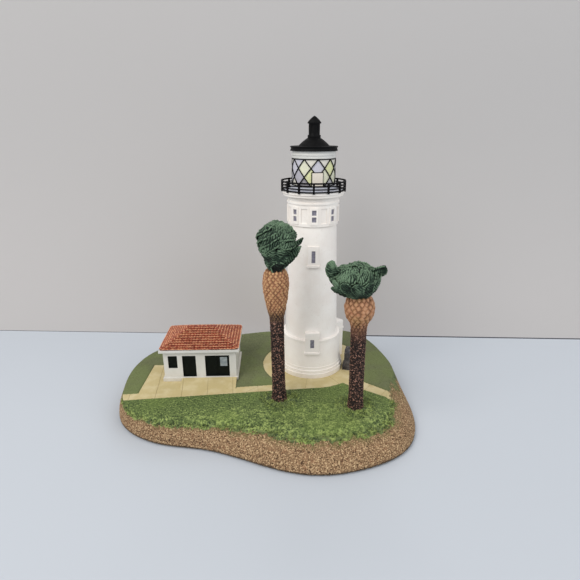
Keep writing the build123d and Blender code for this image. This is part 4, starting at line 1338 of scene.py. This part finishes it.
def around(turn, out, up, half):
    """A point of a spine, as x, y, z and half width."""
    return out * math.cos(math.radians(turn)), out * math.sin(math.radians(turn)), up, half


def hug(side, stations, by=0.0, tall=1.0):
    """A spine that lies on the core, turned by an angle and stretched in height."""
    return [around(turn + by, core_radius(side, up * tall) + off, up * tall, half)
            for turn, up, off, half in stations]


def free(turn, points):
    """A spine that stands out from the head: distance out, height and half width."""
    return [around(turn, *point) for point in points]


def spine_length(points):
    return sum(math.dist(a[:3], b[:3]) for a, b in zip(points, points[1:]))


def crumple(at):
    """The dents and lumps that all layers of a head share, in millimetres."""
    return 0.85 * noise.noise(at / 4.0) + 0.45 * noise.noise(at / 1.8)


def frond_shape(frond, middle, u, v):
    """A point on a frond: u from edge to edge, v from the root to the tip."""
    points, belly, roll, rim, slant, tone = frond
    x, y, z, half = through(points, v)
    ahead, behind = (Vector(through(points, min(1, max(0, v + step)))[:3]) for step in (0.02, -0.02))
    way = (ahead - behind).normalized()
    face = Vector((x, y, 0.6 * (z - middle)))
    face = Matrix.Rotation(math.radians(roll), 3, way) @ (face - way * face.dot(way)).normalized()
    side = 2 * u - 1
    half = max(half, 0.1) * (1 + 0.16 * noise.noise(Vector((v * 5, x + y, side))))
    wide = side * half
    at = Vector((x, y, z)) + face.cross(way) * wide - face * (belly * half * side * side)
    row = (v * spine_length(points) - slant * wide) / LEAFLET + 0.5 * noise.noise(at / 1.9)
    leaflet = math.sin(math.pi * (row % 1)) ** 1.5
    fold = crumple(at)
    groove = max(0, rim) * math.exp(-((abs(side) - 0.66) / 0.15) ** 2)
    edge = rim * side ** 6 - 0.8 * groove
    # Painted light and shade: a highlight on the rim, shadow in the groove and the dents, darker low on
    # the head.
    shade = 1.05 * leaflet + 0.65 * fold + edge + tone + 0.016 * (z - middle) - 0.17
    relief = 0.52 * leaflet * min(1, half) + 0.4 * max(0, rim) * side ** 6 - 0.3 * groove
    return at + face * (relief + fold), shade


def core_shape(points, u, v):
    """A point on the dark core that closes a head inside its fronds."""
    out, up = through(points, v)
    turn = u * math.tau
    at = Vector((out * math.cos(turn), out * math.sin(turn), up))
    return at * (1 + 0.03 * noise.noise(at / 2)), 0.45 + 0.5 * noise.noise(at)


print(len(LEFT_LEAVES), "leaves wind over each side of the left head,", len(RIGHT_LEAVES), "of the right")

# %% The two heads
RIB = (0.35, 0, -0.6, 0.25, 0.0)
BOWL = (0.22, 0, 0.32, 0.9, 0.05)
LEAF = (0.06, -14, 0.7, 0.8, 0.05)
SPIKE = (0.1, -55, 0.2, 0.6)
NECK = [(-80, 0.1, 1.2, 1.8), (-79, 1.6, 1.6, 2.9), (-78, 3.0, 1.7, 3.2), (-78, 4.2, 1.6, 2.4),
        (-78, 5.0, 1.3, 0.6)]
SPIKE_LOW = [(3.4, 1.6, 1.1), (5.8, 4.8, 1.7), (8.3, 8.0, 1.7), (10.5, 10.6, 1.1), (12.1, 12.4, 0.25)]
SPIKE_HIGH = [(4.4, 5.2, 1.2), (6.8, 9.2, 1.7), (9.0, 12.2, 1.5), (10.9, 13.9, 1.0), (12.2, 15.0, 0.25)]
LEFT_EAR = [(3.0, 0.6, 1.6), (5.4, 4.6, 2.2), (8.4, 9.0, 2.9), (10.8, 12.6, 3.0),
            (11.0, 15.4, 2.2), (10.3, 17.0, 0.7)]
RIGHT_EAR = [(3.6, 5.0, 1.8), (7.2, 9.8, 2.8), (10.0, 12.0, 3.3), (12.0, 13.2, 2.9), (13.1, 13.7, 1.3)]
LOBE = [(3.0, 0.5, 1.6), (6.4, 1.6, 2.5), (8.9, 3.2, 3.0), (10.3, 5.0, 2.7), (10.6, 6.4, 1.4)]
BACK_TURN = 178


def left_fronds():
    fronds = [(hug("left", LEFT_RIB, turn), *RIB) for turn in range(-164, 196, 30)]
    fronds += [(hug("left", leaf, by), *LEAF) for by in (0, BACK_TURN) for leaf in LEFT_LEAVES]
    fronds += [(free(-28, SPIKE_LOW), *SPIKE, 0.1), (free(-14, SPIKE_HIGH), *SPIKE, 0.0)]
    return fronds + [(hug("left", NECK), 0.3, 0, 0.8, 0.6, -0.25)]


def right_fronds():
    fronds = []
    for turn in range(-176, 184, 28):
        front = max(0, math.cos(math.radians(turn + 98)))
        fronds.append((hug("right", RIGHT_RIB, turn, 1.1 - 0.14 * front), *BOWL))
    fronds += [(hug("right", leaf, by), *LEAF) for by in (0, BACK_TURN) for leaf in RIGHT_LEAVES]
    fronds += [(hug("right", RIGHT_LEAVES[2], by), *LEAF) for by in (64, 88, 244, 268)]
    fronds += [(free(-164, LEFT_EAR), 0.1, 55, 0.3, 0.8, 0.0)]
    fronds += [(free(-14, RIGHT_EAR), 0.1, -55, 0.3, 0.8, 0.0)]
    return fronds + [(free(-150, LOBE), 0.15, 30, 0.2, 0.8, -0.1)]


def frond_paint():
    look = Look("frond_paint", (4, 11, 7))
    fine = look.grain(0.7, 2)
    level = look.kept("relief") + 0.8 * (fine - 0.5)
    look.over(look.span(level, 0.1, 0.6), (34, 55, 40))
    look.over(look.span(level, 0.6, 1.1), (102, 126, 100))
    look.over(look.spots(4, 0.45, 0.68) * 0.4, (26, 46, 33))
    return look.coat(0.7, fine, 0.08, shine=0.3)


def join(objects, name):
    """Joins objects into one piece with its faces outward."""
    pick(objects[0])
    for obj in objects:
        obj.select_set(True)
    bpy.ops.object.join()
    edit(objects[0])
    leave(outward=True)
    objects[0].name = name
    return objects[0]


def lean_over(obj, shift):
    """Moves a head over by its shift as it rises off the boot."""
    for vertex in obj.data.vertices:
        vertex.co.x += shift * MM * ramp01(vertex.co.z, 0, SHIFT_RISE * MM)


FROND = frond_paint()
FROND_ROW, FROND_THICK = 0.21, 0.5 * MM
HEAD_SINK = 0.2
for side, fronds in (("left", left_fronds()), ("right", right_fronds())):
    core = shaped_sheet("core", 80, 40, lambda u, v: core_shape(CORES[side], u, v))
    weld(core)
    parts = [core]
    for frond in fronds:
        rows = int(spine_length(frond[0]) / FROND_ROW)
        leaf = shaped_sheet("leaf", 14, rows, lambda u, v: frond_shape(frond, HEAD_MIDDLE[side], u, v))
        modify(leaf, "SOLIDIFY", thickness=FROND_THICK, offset=0)
        parts.append(leaf)
    crown = join(parts, f"palm_{side}_crown")
    lean_over(crown, HEAD_SHIFT[side])
    top = TRUNKS[side][-1][0]
    crown.data.transform(palm_frame(side) @ Matrix.Translation((0, 0, (top - HEAD_SINK) * MM)))
    finish_piece(crown, [FROND], f"palm_{side}_fronds", 60)

# %% [markdown]
# ## The stone
# A rough dark stone stands beside the tower. A finely divided copy of the CAD block is chipped by noise.

# %% Stone
stone = copy_node("stone_marker", "stone")
modify(stone, "REMESH", mode="VOXEL", voxel_size=0.25 * MM)
roughen(stone, lambda at: 0.25 * noise.noise(at / (2.2 * MM)) + 0.16 * ridges(at, 0.8) - 0.1)


def stone_paint():
    look = Look("stone_paint", (30, 28, 30))
    relief = look.kept("relief")
    fine = look.grain(0.5, 3)
    look.over(look.span(relief + 0.1 * fine, -0.2, 0.1), (64, 60, 61))
    look.over(look.span(relief + 0.2 * fine, 0.12, 0.3), (104, 98, 97))
    return look.coat(0.75, fine, 0.08)


finish_piece(stone, [stone_paint()], "stone_marker", 60)

# %% [markdown]
# ## Table, wall, light and camera
# The ornament stands on a pale table against a grey wall, in soft daylight from the front and above.
# The wall is clear from behind, so that the back of the ornament can be looked at too.

# %% Stage


def stage_plane(name, size, location, rotation, look):
    bpy.ops.object.select_all(action="DESELECT")
    bpy.ops.mesh.primitive_plane_add(size=1, location=location, rotation=rotation)
    obj = bpy.context.object
    obj.name = name
    obj.scale = (*size, 1)
    obj.data.materials.append(look.material)
    return obj


def stage_paint(name, base, other, foot=None):
    look = Look(name, base)
    look.over(look.grain(60, 2), other)
    if foot:
        # Painted light: a paint with a foot colour is painted lighter towards its foot.
        look.over(1 - look.span(look.axes()[1], -0.5, -0.44), foot)
    return look.coat(0.8)


def clear_behind(look):
    """Lets the eye through a paint from the back of its face."""
    back = look.node("ShaderNodeNewGeometry", out="Backfacing")
    clear = look.node("ShaderNodeBsdfTransparent")
    front = Wire(look, look.shader.outputs["BSDF"])
    mixed = look.node("ShaderNodeMixShader", None, {0: back, 1: front, 2: clear})
    look.feed(look.tree.nodes["Material Output"].inputs["Surface"], mixed)
    return look


WALL_Y = 61.5 * MM
WALL_TURN = math.radians(-2.05)
# Two dark strips at the wall's foot are painted shadow where the wall meets the table.
WALL_FOOT_SHADOWS = (("right", 0.275, 0.8 * MM), ("left", -0.335, 0.35 * MM))
table_paint = stage_paint("table_paint", (193, 198, 205), (187, 192, 199))
# The wall paint is lighter towards its foot: painted light.
wall_paint = clear_behind(stage_paint("wall_paint", (180, 177, 176), (174, 172, 171), (192, 188, 186)))
foot_shadow_paint = clear_behind(stage_paint("foot_shadow_paint", (60, 62, 70), (70, 72, 80)))
stage_plane("table", (6, 6), (0, 0, 0), (0, 0, 0), table_paint)
upright = (math.pi / 2, 0, WALL_TURN)
wall = stage_plane("wall", (6, 3), (0, WALL_Y, 1.5), upright, wall_paint)
strips = [stage_plane(f"wall_foot_{name}", (0.5, height),
                      (x, WALL_Y + math.tan(WALL_TURN) * x - 0.1 * MM, height / 2), upright, foot_shadow_paint)
          for name, x, height in WALL_FOOT_SHADOWS]
for obj in (wall, *strips):
    obj.visible_shadow = False
    obj.visible_diffuse = False
print("stage: a table, a wall and", len(strips), "gaps at its foot")

# %% Light and camera
LIGHT_AIM = Vector((-0.02, -0.01, 0.05))
ROOM_COLOR, ROOM_STRENGTH = (0.95, 0.97, 1.0, 1), 0.46
CAMERA_AT = (-11.8 * MM, -231.8 * MM, 138.25 * MM)
CAMERA_TILT = math.radians(70.5)
LENS, SENSOR = 27.93, 36


def area_light(name, power, size, location, color=(1, 1, 1)):
    data = bpy.data.lights.new(name, "AREA")
    data.energy, data.size, data.color = power, size, color
    obj = link(name, data)
    obj.location = location
    obj.rotation_euler = (LIGHT_AIM - obj.location).to_track_quat("-Z", "Y").to_euler()


area_light("key", 7.1, 0.7, (-0.5, -0.55, 0.7), (1.0, 0.98, 0.95))
area_light("fill", 3.0, 0.7, (0.6, -0.45, 0.5), (0.97, 0.99, 1.0))
area_light("back", 1.6, 0.6, (0.1, 0.7, 0.6))
world = bpy.data.worlds.new("room")
bpy.context.scene.world = world
world.use_nodes = True
room = world.node_tree.nodes["Background"].inputs
room["Color"].default_value, room["Strength"].default_value = ROOM_COLOR, ROOM_STRENGTH
camera = link("camera", bpy.data.cameras.new("camera"))
camera.location = CAMERA_AT
camera.rotation_euler = (CAMERA_TILT, 0, 0)
camera.data.lens, camera.data.sensor_width = LENS, SENSOR
camera.data.clip_start = 0.005
bpy.context.scene.camera = camera
bpy.context.scene.view_settings.view_transform = "Standard"
print("three lights, a room and a camera at", [round(value, 4) for value in camera.location])
